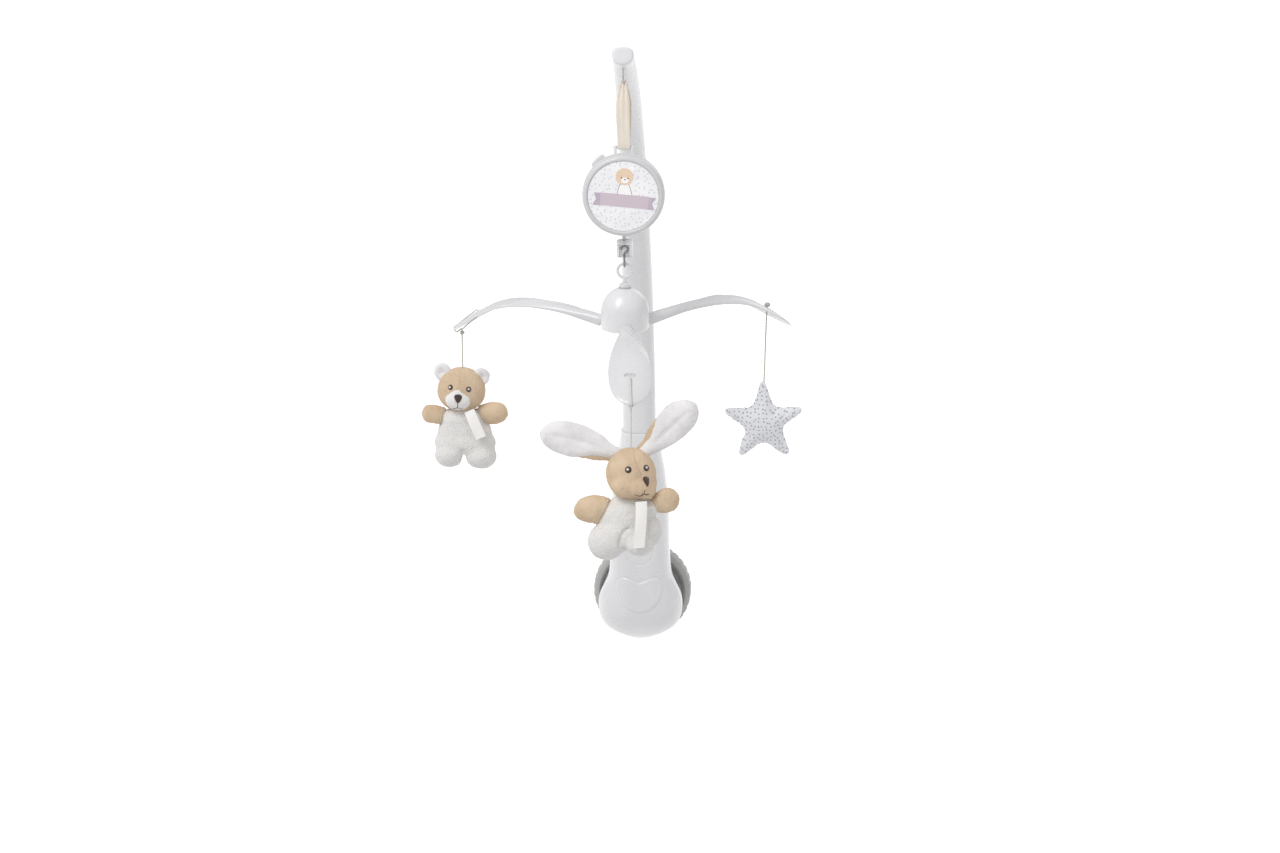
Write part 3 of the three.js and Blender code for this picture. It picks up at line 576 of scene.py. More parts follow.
def rib_fabric():
    """Fine horizontal knit ribs."""
    m = Mat("white_rib_knit", srgb(237, 234, 229), 0.9, Sheen_Weight=0.3, Specular_IOR_Level=0.25)
    rib = m.wave(420, m.mapping((0, 0, 1)), "Z", 0.6)
    yarn = m.wave(1500, m.mapping((1, 0.3, 0.2)), "X", 2.0)
    h = m.math("ADD", m.math("MULTIPLY", rib, 0.7), m.math("MULTIPLY", yarn, 0.3))
    # painted shade: the grooves between ribs are darker, the rib tops paler
    m.base(m.mix(m.ramp(h, 0.2, 0.7), srgb(232, 230, 227), srgb(250, 249, 248)))
    m.rough(m.ramp(m.noise(900), 0.3, 0.7, 0.82, 0.96))
    m.bump(h, 0.28, 0.8)
    return m.m


def dotted_cotton():
    """Plain-weave cotton, pale blue-white, printed with small scattered grey dots."""
    m = Mat("dotted_cotton", srgb(231, 234, 240), 0.86, Sheen_Weight=0.2, Specular_IOR_Level=0.3)
    warp = m.wave(1150, m.mapping((1, 0, 0)), "X", 0.5)
    weft = m.wave(1150, m.mapping((0, 0, 1)), "Z", 0.5)
    weave = m.math("MAXIMUM", warp, weft)
    flat = m.mapping((1, 0, 1), (math.pi / 2, 0, 0))
    dots = m.voronoi(262, flat, "F1", 0.7, "2D")
    ink = m.ramp(m.math("ADD", dots, m.math("MULTIPLY", m.noise(1400, 2), 0.06)), 0.19, 0.25, 0.85, 0)
    tone = m.mix(m.ramp(m.noise(150, 2, 0.5, flat), 0.4, 0.62), srgb(133, 135, 152), srgb(163, 160, 172))
    # painted shade: the gaps of the weave are darker than the threads' tops
    cloth = m.mix(m.ramp(weave, 0.2, 0.9), srgb(214, 216, 222), srgb(236, 237, 241))
    m.base(m.mix(ink, cloth, tone))
    m.rough(m.ramp(m.noise(700), 0.3, 0.7, 0.8, 0.94))
    m.bump(weave, 0.09, 0.7)
    m.bump(m.noise(260, 3), 0.16, 0.5)
    return m.m


def printed_disc():
    """White card behind gloss, with a light scatter of small dots."""
    m = Mat("printed_disc", srgb(246, 246, 248), 0.3, Coat_Weight=0.5, Coat_Roughness=0.08)
    flat = m.mapping((1, 0, 1), (math.pi / 2, 0, 0))
    dots = m.voronoi(235, flat, "F1", 0.8, "2D")
    ink = m.ramp(dots, 0.15, 0.2, 0.62, 0)
    tone = m.mix(m.ramp(m.noise(120, 2, 0.5, flat), 0.42, 0.6), srgb(186, 190, 206), srgb(203, 196, 208))
    paper = m.mix(m.ramp(m.noise(45, 3), 0.3, 0.7), srgb(241, 241, 245), srgb(249, 249, 250))
    m.base(m.mix(ink, paper, tone))
    m.rough(m.ramp(m.noise(300), 0.3, 0.7, 0.26, 0.36))
    m.bump(m.noise(1200, 2), 0.01, 0.4)
    return m.m


def ink(name, color, rough=0.4):
    """A printed patch: halftone-fine colour variation and a thin film of ink."""
    m = Mat(name, color, rough, Coat_Weight=0.4, Coat_Roughness=0.1)
    m.base(m.mix(m.ramp(m.voronoi(1500), 0.1, 0.6), shade(color, 0.93), shade(color, 1.04)))
    m.rough(m.ramp(m.noise(500), 0.3, 0.7, rough - 0.05, rough + 0.05))
    m.bump(m.noise(1500, 2), 0.01, 0.4)
    return m.m


def tape():
    """Woven cotton tape: a fine twill."""
    m = Mat("woven_tape", srgb(233, 222, 208), 0.88, Sheen_Weight=0.25, Specular_IOR_Level=0.25)
    twill = m.wave(900, m.mapping((1, 0, 1), (0, math.radians(38), 0)), "X", 0.3)
    weft = m.wave(1300, m.mapping((0, 0, 1)), "Z", 0.4)
    h = m.math("ADD", m.math("MULTIPLY", twill, 0.65), m.math("MULTIPLY", weft, 0.35))
    # painted shade: the low lines of the twill are darker, the raised ones paler
    m.base(m.mix(m.ramp(h, 0.2, 0.75), srgb(234, 223, 208), srgb(247, 239, 227)))
    m.rough(m.ramp(m.noise(800), 0.3, 0.7, 0.8, 0.95))
    m.bump(h, 0.12, 0.8)
    return m.m


def satin_tag():
    m = Mat("satin_tag", srgb(244, 242, 239), 0.55, Sheen_Weight=0.3)
    w = m.wave(1600, m.mapping((0.3, 0, 1)), "Z", 0.4)
    v = m.wave(1100, m.mapping((1, 0, 0)), "X", 0.4)
    h = m.math("ADD", m.math("MULTIPLY", w, 0.6), m.math("MULTIPLY", v, 0.4))
    # painted shade: the low parts of the weave are darker, the raised ones paler
    m.base(m.mix(m.ramp(h, 0.2, 0.8), srgb(231, 228, 224), srgb(249, 247, 245)))
    m.rough(m.ramp(m.noise(600), 0.3, 0.7, 0.48, 0.64))
    m.bump(h, 0.05, 0.6)
    return m.m


def thread(name, color, twist=1100):
    """Twisted yarn: slanting plies and loose fibres."""
    m = Mat(name, color, 0.82, Sheen_Weight=0.3, Specular_IOR_Level=0.3)
    ply = m.wave(twist, m.mapping((1, 1, 1.6)), "DIAGONAL", 1.2)
    fuzz = m.noise(3200, 2)
    # painted shade: the grooves between the plies are darker than their crowns
    m.base(m.mix(m.ramp(ply, 0.2, 0.75), shade(color, 0.78), shade(color, 1.04)))
    m.rough(m.ramp(fuzz, 0.3, 0.7, 0.72, 0.92))
    m.bump(ply, 0.1, 0.8)
    m.bump(fuzz, 0.03, 0.6)
    return m.m


RUBBER = rubber()
RIB = rib_fabric()
STARCLOTH = dotted_cotton()
DISC = printed_disc()
TAPE = tape()
TAG = satin_tag()
THREAD = thread("cord_thread", srgb(206, 200, 191))
THREAD_PALE = thread("pale_cord_thread", srgb(224, 221, 216))
BROWN = thread("brown_thread", srgb(78, 58, 52), 1700)
STITCH = thread("seam_thread", srgb(222, 214, 204), 1900)
# painted highlight for the eyes, given a thread texture
EYE_GLINT = thread("eye_glint_thread", srgb(240, 238, 235), 1900)
INK_SKIN = ink("ink_beige", srgb(233, 208, 180))
INK_WHITE = ink("ink_white", srgb(250, 249, 248))
INK_DARK = ink("ink_dark", srgb(94, 80, 84))
INK_BANNER = ink("ink_banner", srgb(206, 192, 202))
INK_BANNER2 = ink("ink_banner_fold", srgb(189, 176, 192))


def finish_piece(o, material, body, *nodes, slot=None):
    o.data.materials.clear()
    o.data.materials.append(material)
    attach(o, body)
    if nodes:
        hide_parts(*nodes)
    return o


# ------------------------------------------------------------------ camera
def make_camera():
    az, el, roll = math.radians(2.7), math.radians(16.0), math.radians(0.3)
    back = Vector((math.sin(az) * math.cos(el), -math.cos(az) * math.cos(el), math.sin(el)))
    right = (-back).cross(Vector((0, 0, 1))).normalized()
    up = right.cross(-back)
    x = math.cos(roll) * right - math.sin(roll) * up
    y = math.sin(roll) * right + math.cos(roll) * up
    data = bpy.data.cameras.new("camera")
    data.lens = 105
    data.sensor_width = 36
    data.clip_start, data.clip_end = 0.05, 100
    cam = bpy.data.objects.new("camera", data)
    m = Matrix((x, y, back)).transposed().to_4x4()
    m.translation = Vector((166.77693, -3539.44012, 1161.17654)) * MM
    cam.matrix_world = m
    COLLECTION.objects.link(cam)
    SCENE.camera = cam


make_camera()

# where each toy hangs
BX, BY, _ = arm_at(2, HANG_R, 0, 0)
SX, SY, _ = arm_at(1, STAR_HANG_R, 0, 0)
NX, NY, _ = arm_at(0, HANG_R, 0, 0)
BEAD_Z = arm_top(STAR_HANG_R) + 2.9


# ------------------------------------------------------------------ cords
def string(name, x, y, top, bottom, body, node, lean=(0, 0)):
    n = 24
    x += lean[0]
    line = [(x + (lean[1] - lean[0]) * i / (n - 1), y, top + (bottom - top) * i / (n - 1)) for i in range(n)]
    fine = even(line, max(60, int((top - bottom) / 0.35)))
    o = tube(name, fine, STRING_R, 14, rope=0.34, pitch=2.6, resample=False)
    finish_piece(o, THREAD_PALE if body == "bunny_line" else THREAD, body, node, slot="thread")
    return o


string("bear_cord", BX, BY, KNOT_Z, BEAR_HEAD - 3, "bear_line", "string_bear")
string("star_cord", SX, SY, BEAD_Z, STAR_TIP - 4, "star_line", "string_star", (-0.4, -3.0))
string("bunny_cord", NX, NY, KNOT_Z, BUNNY_HEAD - 3, "bunny_line", "string_bunny")


# ------------------------------------------------------------------ floor and light
def stage_material(name, color):
    """A white sweep, lit from within behind the object, that falls to mid grey under and in front of it."""
    m = Mat(name, color, 0.9, Specular_IOR_Level=0.1)
    split = m.add("ShaderNodeSeparateXYZ")
    m.link(m.co, split.inputs[0])
    back = m.ramp(split.outputs[1], -0.3, 0.06)
    cloud = m.mix(m.ramp(m.noise(1.2, 3), 0.3, 0.7), shade(color, 0.995), shade(color, 1.0))
    m.base(m.mix(back, (0.7, 0.7, 0.7, 1), cloud))
    m.b.inputs["Emission Color"].default_value = (1, 1, 1, 1)
    m.link(m.math("MULTIPLY", back, 0.3), m.b.inputs["Emission Strength"])
    return m.m


def make_stage():
    z, half = -0.36, 14.0
    me = bpy.data.meshes.new("floor")
    n = 24
    v, f = [], []
    for i in range(n + 1):
        for j in range(n + 1):
            v.append((-half + 2 * half * i / n, -half + 2 * half * j / n, z))
    for i in range(n):
        for j in range(n):
            a = i * (n + 1) + j
            f.append((a, a + n + 1, a + n + 2, a + 1))
    me.from_pydata(v, [], f)
    o = bpy.data.objects.new("floor", me)
    COLLECTION.objects.link(o)
    me.materials.append(stage_material("pale_floor", (0.93, 0.93, 0.93, 1)))


def area(name, at, look, size, power_w, color=(1, 1, 1)):
    d = bpy.data.lights.new(name, "AREA")
    d.shape = "RECTANGLE"
    d.size, d.size_y = size
    d.energy = power_w
    d.color = color
    o = bpy.data.objects.new(name, d)
    COLLECTION.objects.link(o)
    o.location = at
    o.rotation_mode = "QUATERNION"
    o.rotation_quaternion = (Vector(look) - Vector(at)).to_track_quat("-Z", "Y")
    return o


make_stage()
area("key", (-1.7, -2.3, 2.2), (0, -0.25, 0.28), (1.2, 1.2), 10)
area("fill", (2.3, -2.4, 1.0), (0, -0.25, 0.25), (1.6, 1.6), 5)
area("top", (0.1, 0.3, 2.9), (0, -0.25, 0.2), (1.8, 1.8), 3)
area("back_rim", (1.2, 2.2, 1.4), (0, -0.2, 0.3), (1.0, 1.4), 5)
sun = bpy.data.lights.new("soft_sun", "SUN")
sun.energy = 1.25
sun.angle = math.radians(28)
sun_object = bpy.data.objects.new("soft_sun", sun)
COLLECTION.objects.link(sun_object)
sun_object.rotation_mode = "QUATERNION"
sun_object.rotation_quaternion = Vector((0.42, 0.46, -0.8)).to_track_quat("-Z", "Y")
world = bpy.data.worlds.new("studio")
world.use_nodes = True
world.node_tree.nodes["Background"].inputs["Color"].default_value = (1, 1, 1, 1)
world.node_tree.nodes["Background"].inputs["Strength"].default_value = 0.66
SCENE.world = world
SCENE.view_settings.view_transform = "Standard"
SCENE.view_settings.look = "None"


# ------------------------------------------------------------------ base and post
def inside_polygon(poly, x, z):
    inside = np.zeros(x.shape, bool)
    n = len(poly)
    for i in range(n):
        (x0, z0), (x1, z1) = poly[i], poly[(i + 1) % n]
        cond = ((z0 > z) != (z1 > z)) & (x < (x1 - x0) * (z - z0) / (z1 - z0 + 1e-12) + x0)
        inside ^= cond
    return inside


def distance_to_line(line, x, z, closed=False):
    best = np.full(x.shape, 1e9)
    pts = list(line) + ([line[0]] if closed else [])
    for (x0, z0), (x1, z1) in zip(pts[:-1], pts[1:]):
        dx, dz = x1 - x0, z1 - z0
        t = np.clip(((x - x0) * dx + (z - z0) * dz) / (dx * dx + dz * dz + 1e-12), 0, 1)
        best = np.minimum(best, np.hypot(x - x0 - t * dx, z - z0 - t * dz))
    return best


def front_point(a, z, inset):
    w = max(spline(WIDTH, z) - inset, 1.5)
    d = max(spline(DEPTH, z) - inset, 1.5)
    return (w * power(math.cos(a), 0.8), BACK_Y1 - GAP - d * max(math.sin(a), 0) ** 0.75, z)


def base_front():
    m, n = 320, 190
    zs = np.r_[np.linspace(0, 1, 40, endpoint=False) ** 1.6 * 12.8 - 70.8, np.linspace(-58, 146, m - 40)]
    angles = (1 - np.cos(np.linspace(0, math.pi, n))) / 2 * math.pi
    angles = 0.45 * angles + 0.55 * np.linspace(0, math.pi, n)
    outer = np.array([[front_point(a, z, 0) for a in angles] for z in zs])
    inner_z = np.interp(np.linspace(0, 1, m), [0, 1], [-67.6, 146])
    inner = np.array([[front_point(a, z, 2.4 + 3.4 * smoothstep(139, 145, z)) for a in angles] for z in inner_z])
    # raised shield with a dipped top edge
    half = [(0, -5.8), (4, -4.1), (9, -1.9), (14, -.8), (18.6, -1.8), (21.6, -5), (22.6, -10), (21.8, -16), (19.2, -22.5), (14.6, -28.4), (8, -33), (0, -34.9)]
    shield = half + [(-x, z) for x, z in reversed(half[1:-1])]
    shield = [tuple(p[:2]) for p in catmull([(x, z, 0) for x, z in shield + shield[:1]], 120)][:-1]
    x, z = outer[..., 0], outer[..., 2]
    d = distance_to_line(shield, x, z, True) * np.where(inside_polygon(shield, x, z), 1, -1)
    lift = 0.95 * vsmooth(-0.8, 0.9, d)
    lift -= 0.28 * np.exp(-((d + 1.2) / 0.8) ** 2)
    # the U-shaped seam that runs up the post
    u = [(-15.4, 146), (-15.6, 110), (-15.8, 60), (-15, 34), (-13.4, 24), (-9.6, 17.4), (-4.8, 14.6), (0, 13.9)]
    u = u + [(-a, b) for a, b in reversed(u[:-1])]
    u = [tuple(p[:2]) for p in catmull([(a, b, 0) for a, b in u], 160)]
    g = distance_to_line(u, x, z)
    lift -= 0.62 * np.exp(-(g / 0.85) ** 2)
    inside_u = (np.abs(x) < np.interp(z, [13.9, 17.4, 24, 34, 60, 146], [0, 9.6, 13.4, 15, 15.8, 15.4])) & (z > 13.9)
    lift += np.where(inside_u, -0.3 * vsmooth(0.3, 2.2, g), 0)
    # the seam just inside the lower rim
    w = np.array([spline(WIDTH, q) for q in zs])[:, None]
    rim = np.abs((w - np.abs(x)) - 1.9)
    lift -= 0.4 * np.exp(-(rim / 0.6) ** 2) * vsmooth(10, -8, z) * vsmooth(-70.8, -66, z)
    du = np.gradient(outer, axis=0)
    dv = np.gradient(outer, axis=1)
    nrm = np.cross(dv, du)
    nrm /= np.linalg.norm(nrm, axis=2)[..., None] + 1e-12
    nrm *= np.sign(-nrm[m // 2, n // 2, 1])
    outer[:, 1:-1] += (nrm * lift[..., None])[:, 1:-1]
    verts = np.vstack([outer.reshape(-1, 3), inner.reshape(-1, 3)])
    faces = grid_faces(m, n, False)
    k = m * n
    faces += [[a + k, d2 + k, c + k, b + k] for a, b, c, d2 in grid_faces(m, n, False)]
    for i in range(m - 1):
        a, b = i * n, (i + 1) * n
        faces.append([a, b, b + k, a + k])
        a, b = i * n + n - 1, (i + 1) * n + n - 1
        faces.append([b, a, a + k, b + k])
    for j in range(n - 1):
        faces.append([j + 1, j, j + k, j + 1 + k])
        a = (m - 1) * n + j
        faces.append([a, a + 1, a + 1 + k, a + k])
    o = mesh_object("front_shell_skin", verts, faces, 50)
    return finish_piece(o, WHITE, "stand", "base_front_shell", slot="shell")


def rounded_plate(name, inset, y0, y1, z0, z1, edge, m=150, n=120, sharp=40):
    """The pear outline as a plate with rounded edges."""
    ts = np.linspace(0, math.pi, m)
    mid = (1 - np.cos(ts)) / 2
    outline = []
    zs = z0 + (z1 - z0) * mid
    for z in zs:
        outline.append((max(spline(WIDTH, z) - inset, 2), z))
    ring2 = np.array(outline + [(-x, z) for x, z in reversed(outline)])
    cx, cz = 0.0, (z0 + z1) / 2
    rings = []
    prof = [(edge, 0.0)] + [(edge * (1 - math.sin(q)), edge * (1 - math.cos(q))) for q in np.linspace(0, math.pi / 2, 6)[1:]]
    t = np.gradient(ring2, axis=0)
    nn = np.stack([t[:, 1], -t[:, 0]], 1)
    nn /= np.linalg.norm(nn, axis=1)[:, None] + 1e-9
    if (nn * (ring2 - np.array([cx, cz]))).sum() < 0:
        nn = -nn
    for off, h in prof:
        p = ring2 - nn * off
        rings.append(np.stack([p[:, 0], np.full(len(p), y0 + h), p[:, 1]], 1))
    for off, h in reversed(prof):
        p = ring2 - nn * off
        rings.append(np.stack([p[:, 0], np.full(len(p), y1 - h), p[:, 1]], 1))
    rings = np.array(rings)
    k, q = rings.shape[:2]
    verts = rings.reshape(-1, 3).tolist()
    faces = grid_faces(k, q)
    faces.append(list(range(q))[::-1])
    faces.append([(k - 1) * q + j for j in range(q)])
    return mesh_object(name, verts, faces, sharp)


def drum(name, c0, c1, r, sides=48):
    """A plain round cutter between two points."""
    a, b = np.array(c0, float), np.array(c1, float)
    t, u, w = frames(np.array([a, b]))
    ang = np.arange(sides) / sides * TAU
    return skin(name, [p + np.outer(r * np.cos(ang), u[0]) + np.outer(r * np.sin(ang), w[0]) for p in (a, b)])


def base_rear():
    o = rounded_plate("rear_shell_skin", 0.4, BACK_Y1, BACK_Y0, -70.2, 146, 1.3)
    cuts = [drum("c0", (0, 5, STUD_Z), (0, -15, STUD_Z), STUD_R + GAP)]
    for z in (62, 110):
        cuts += [drum("c", (0, -12, z), (0, 0, z), 1.9), drum("c", (0, -5.6, z), (0, 0, z), 4.2)]
    boolean(o, cuts, sharp=35)
    finish_piece(o, WHITE2, "stand", "base_rear_shell", slot="shell")
    for i, z in enumerate((62, 110)):
        prof = [(0, -3.15), (1.6, -3.2), (2.9, -3.55), (3.6, -4.3), (3.6, -5.2), (1.6, -5.4), (1.5, -17.4), (0.9, -18), (0, -18)]
        s = turned("c", prof, (0, 0, z), "y", 64, 0.25)
        cross = [cutter_box("x", (-2.1, -3.9, z - .42), (2.1, -2, z + .42)), cutter_box("x", (-.42, -3.9, z - 2.1), (.42, -2, z + 2.1))]
        boolean(s, cross)
        s.name = f"screw_{i + 1}"
        finish_piece(s, STEEL, "stand", f"shell_screw_{i + 1}", slot="steel")


def clamp():
    pad = rounded_plate("pad_skin", 4.5, -3, 0, -65, 46, 0.7)
    boolean(pad, [drum("c", (0, 5, STUD_Z), (0, -10, STUD_Z), STUD_R + 1)]
            + [cutter_box("g", (-60, -0.7, z), (60, 0.4, z + 1.1)) for z in list(range(-62, -44, 6)) + list(range(-24, 44, 6))], sharp=30)
    finish_piece(pad, RUBBER, "stand", "clamp_pad", slot="rubber")
    # threaded stud, 3 mm pitch
    y0, y1, sides = -9.6, 68, 56
    a = np.arange(sides) / sides * TAU
    ys = np.linspace(y0, y1, 470)
    rings = []
    for y in ys:
        ph = ((y / 3.0 - a / TAU) % 1.0)
        tri = np.abs(ph - 0.5) * 2
        r = STUD_R - 1.25 * np.clip(1.5 * tri - 0.25, 0, 1) * smoothstep(16, 18, y)
        r = np.minimum(r, STUD_R - max(0.0, (y - 66.6)) * 0.9)
        rings.append(np.stack([r * np.cos(a), np.full(sides, y), r * np.sin(a) + STUD_Z], 1))
    rod = skin("rod", rings, sharp=50)
    six = [math.radians(60 * k + 30) for k in range(6)]
    hexa = fillet([(12 * math.cos(q), 12 * math.sin(q)) for q in six], 1.2, 4, True)
    ring = lambda k, y: [(k * p[0], y, k * p[1] + STUD_Z) for p in hexa]
    head = skin("head", [ring(.93, -17), ring(1, -16.3), ring(1, -9.9), ring(.95, -9.4)], sharp=30)
    o = joined("stud", [rod, head])
    smooth(o, 40)
    finish_piece(o, STEEL, "stand", "clamp_stud", slot="steel")
    # rubber pressure pad with rings
    y = RAIL
    prof = [(STUD_R + .9, y)]
    for r in range(9, 41, 5):
        prof += [(r, y), (r + .5, y + .6), (r + 1.5, y + .6), (r + 2, y)]
    prof += [(43, y), (43, y + 3), (STUD_R + .9, y + 3)]
    o = turned("pressure_ring", prof, (0, 0, STUD_Z), "y", 128, 0.15, True, 2)
    finish_piece(o, RUBBER, "pressure_pad", "nut_pad", slot="rubber")
    # grooved round nut
    n0 = y + 3 + GAP
    prof = [(STUD_R + .5, n0), (NUT_R - 5, n0), (NUT_R - 1, n0 + 2), (NUT_R, n0 + 5), (NUT_R, n0 + 9), (NUT_R, n0 + 12), (NUT_R, n0 + NUT_T - 5),
            (NUT_R - 3, n0 + NUT_T - 1), (NUT_R - 7, n0 + NUT_T), (NUT_R - 10, n0 + NUT_T), (NUT_R - 12, n0 + NUT_T - 9),
            (16, n0 + NUT_T - 9), (14, n0 + NUT_T), (STUD_R + .5, n0 + NUT_T)]

    def flutes(r, h, a):
        band = smoothstep(n0 + 1.5, n0 + 4, h) * (1 - smoothstep(n0 + NUT_T - 4, n0 + NUT_T - 1.2, h)) * (1 if r > NUT_R - 4 else 0)
        return -0.9 * band * np.clip(np.cos(a * 36) * 1.6 - 0.5, 0, 1)
    o = turned("grip_nut", prof, (0, 0, STUD_Z), "y", 432, 0.9, True, 4, 60, flutes)
    finish_piece(o, GREY, "nut", "clamp_nut", slot="grey")


# ------------------------------------------------------------------ curved arm
def arc_back(s):
    a = s * ARC_END
    return np.array([0, ARC_Y - ARC_R * (1 - math.cos(a)), ARC_Z + ARC_R * math.sin(a)])


def arc_t(s):
    return np.array([0, -math.sin(s * ARC_END), math.cos(s * ARC_END)])


def arc_f(s):
    return np.array([0, -math.cos(s * ARC_END), -math.sin(s * ARC_END)])


def arm_point(s, a, inset, past=0.0, scale=1.0, dent=0.0):
    w = (spline(ARM_W, s) - inset) * scale
    d = spline(ARM_D, s) - 2 * inset
    c, q = math.cos(a), math.sin(a)
    mid = inset + d * 0.42
    deep = mid + (d * .58) * q ** .9 * scale if q >= 0 else mid - (d * .42) * abs(q) ** .55 * scale
    return arc_back(s) + np.array([1, 0, 0]) * (w * power(c, .85) - math.copysign(dent, c)) + arc_f(s) * deep + arc_t(s) * past


def curved_arm():
    sides, steps = 160, 300
    a = np.arange(sides) / sides * TAU
    rings = []
    shift = np.array([0, -1.61, 0])
    for past, inset in ((-24, 3.8), (-23.4, 3.1), (-12, 3.1), (-.3, 3.1)):
        rings.append([arm_point(0, q, inset, past) + shift for q in a])
    rings.append([arm_point(0, q, .42, -.27) for q in a])
    rings.append([arm_point(0, q, .1, -.12) for q in a])
    for s in np.linspace(0.0012, 1, steps):
        dent = lambda q: 0.42 * math.exp(-((math.sin(q) + 0.02) / 0.035) ** 2)
        rings.append([arm_point(s, q, 0 if s < .9985 else .25, 0, 1, dent(q)) for q in a])
    o = skin("arm_skin", rings, sharp=40)
    finish_piece(o, WHITE, "stand", "curved_arm", slot="shell")
    cap = [(-7, .9, 2.7), (GAP, .97, 2.7), (GAP, .985, 0), (GAP + .25, 1, 0), (1.6, 1, 0), (2.3, .985, 0), (2.9, .95, 0), (3.3, .89, 0), (3.55, .8, 0), (3.6, .55, 0), (3.62, .25, 0)]
    o = skin("tip_cap", [[arm_point(1, q, inset, past, scale) for q in a] for past, scale, inset in cap], sharp=50)
    finish_piece(o, WHITE2, "stand", "arm_end_cap", slot="shell")
    y = REACH
    pts = [(0, y - 3, HOOK_Z + 18), (0, y - 3, HOOK_Z + 10), (0, y - 3, HOOK_Z + 4.2), (0, y - 2.2, HOOK_Z + 1.9), (0, y, HOOK_Z + 1),
           (0, y + 2.2, HOOK_Z + 1.9), (0, y + 3, HOOK_Z + 4.2), (0, y + 3, HOOK_Z + 8)]
    o = tube("ribbon_hook", pts, 1.0, 24, 90)
    finish_piece(o, STEEL, "stand", "hang_hook", slot="steel")


# ------------------------------------------------------------------ ribbon
def ribbon():
    """One loop of tape over the hook and under the bar, gathered at the top."""
    top, low = HOOK_Z + 1.0, BAIL_Z
    path = []  # (y, z, share of the way down, which strand)
    for q in np.linspace(math.pi / 2, math.pi, 8, endpoint=False):
        path.append((REACH + 1.75 * math.cos(q), top + 1.75 * math.sin(q), 0.0))
    for t in np.linspace(0, 1, 60, endpoint=False):
        bow = 0.9 * math.sin(math.pi * t)
        path.append((REACH - 1.75 - bow - .35 * t, top + (low - top) * t, t))
    for q in np.linspace(math.pi, TAU, 18, endpoint=False):
        path.append((REACH + 2.1 * math.cos(q), low + 2.1 * math.sin(q), 1.0))
    for t in np.linspace(1, 0, 60, endpoint=False):
        bow = 0.7 * math.sin(math.pi * t)
        path.append((REACH + 1.75 + bow + .35 * t, top + (low - top) * t, t))
    for q in np.linspace(0, math.pi / 2, 8, endpoint=False):
        path.append((REACH + 1.75 * math.cos(q), top + 1.75 * math.sin(q), 0.0))
    path = np.array(path)
    n, cols = len(path), 41
    yz = path[:, :2]
    tan = np.roll(yz, -1, 0) - np.roll(yz, 1, 0)
    tan /= np.linalg.norm(tan, axis=1)[:, None]
    nrm = np.stack([tan[:, 1], -tan[:, 0]], 1)
    verts = []
    for i in range(n):
        t = path[i, 2]
        front = path[i, 0] < REACH
        half = np.interp(t, [0, .06, .16, .32, .75, 1], [3.0, 3.7, 4.9, 6.1, 5.7, 5.6])
        pleat = np.interp(t, [0, .1, .3, .6, 1], [.62, .55, .3, .12, .05])
        shift = (-.55 if front else .65) * math.sin(math.pi * min(1, t * 1.15)) * 1.3
        if t <= 0 or t >= 1:
            shift = 0
        for c in np.linspace(-1, 1, cols):
            x = c * half + shift
            fold = pleat * math.cos(c * math.pi * 2.5 + (0.6 if front else 2.2)) + .25 * math.sin(2.2 * c + 7 * t) * math.sin(math.pi * t)
            curl = .35 * (abs(c) ** 4) * math.sin(math.pi * t)
            verts.append((x, path[i, 0] + nrm[i, 0] * (fold - curl), path[i, 1] + nrm[i, 1] * (fold - curl)))
    faces = []
    for i in range(n):
        for c in range(cols - 1):
            a, b = i * cols + c, ((i + 1) % n) * cols + c
            faces.append([a, a + 1, b + 1, b])
    o = mesh_object("ribbon_tape", verts, faces)
    m = o.modifiers.new("thick", "SOLIDIFY")
    m.thickness = 0.42 * MM
    m.offset = 0
    m.use_rim = True
    settle(o)
    smooth(o, 60)
    finish_piece(o, TAPE, "ribbon_strap", "ribbon", slot="ribbon")


# ------------------------------------------------------------------ music box
def plate2d(name, outline, y, t, material, body="music_box", slot="label", edge=0.04):
    """A thin printed patch: an outline in X and Z, raised by t toward -Y."""
    p = np.array(outline, float)
    c = p.mean(0)
    rings = []
    for k, h in ((0, 0), (0, t - edge), (edge, t)):
        q = c + (p - c) * (1 - k / max(1e-6, np.abs(p - c).max()))
        rings.append(np.stack([q[:, 0], np.full(len(q), y - h), q[:, 1]], 1))
    rings = np.array(rings)
    m, n = rings.shape[:2]
    faces = grid_faces(m, n)
    faces.append(list(range(n))[::-1])
    faces.append([(m - 1) * n + j for j in range(n)])
    o = mesh_object(name, rings.reshape(-1, 3), faces, 40)
    finish_piece(o, material, body, slot=slot)
    return o


def oval(cx, cz, rx, rz, n=64, tilt=0.0, e=1.0):
    out = []
    for k in range(n):
        a = k / n * TAU
        x, z = rx * power(math.cos(a), e), rz * power(math.sin(a), e)
        out.append((cx + x * math.cos(tilt) - z * math.sin(tilt), cz + x * math.sin(tilt) + z * math.cos(tilt)))
    return out


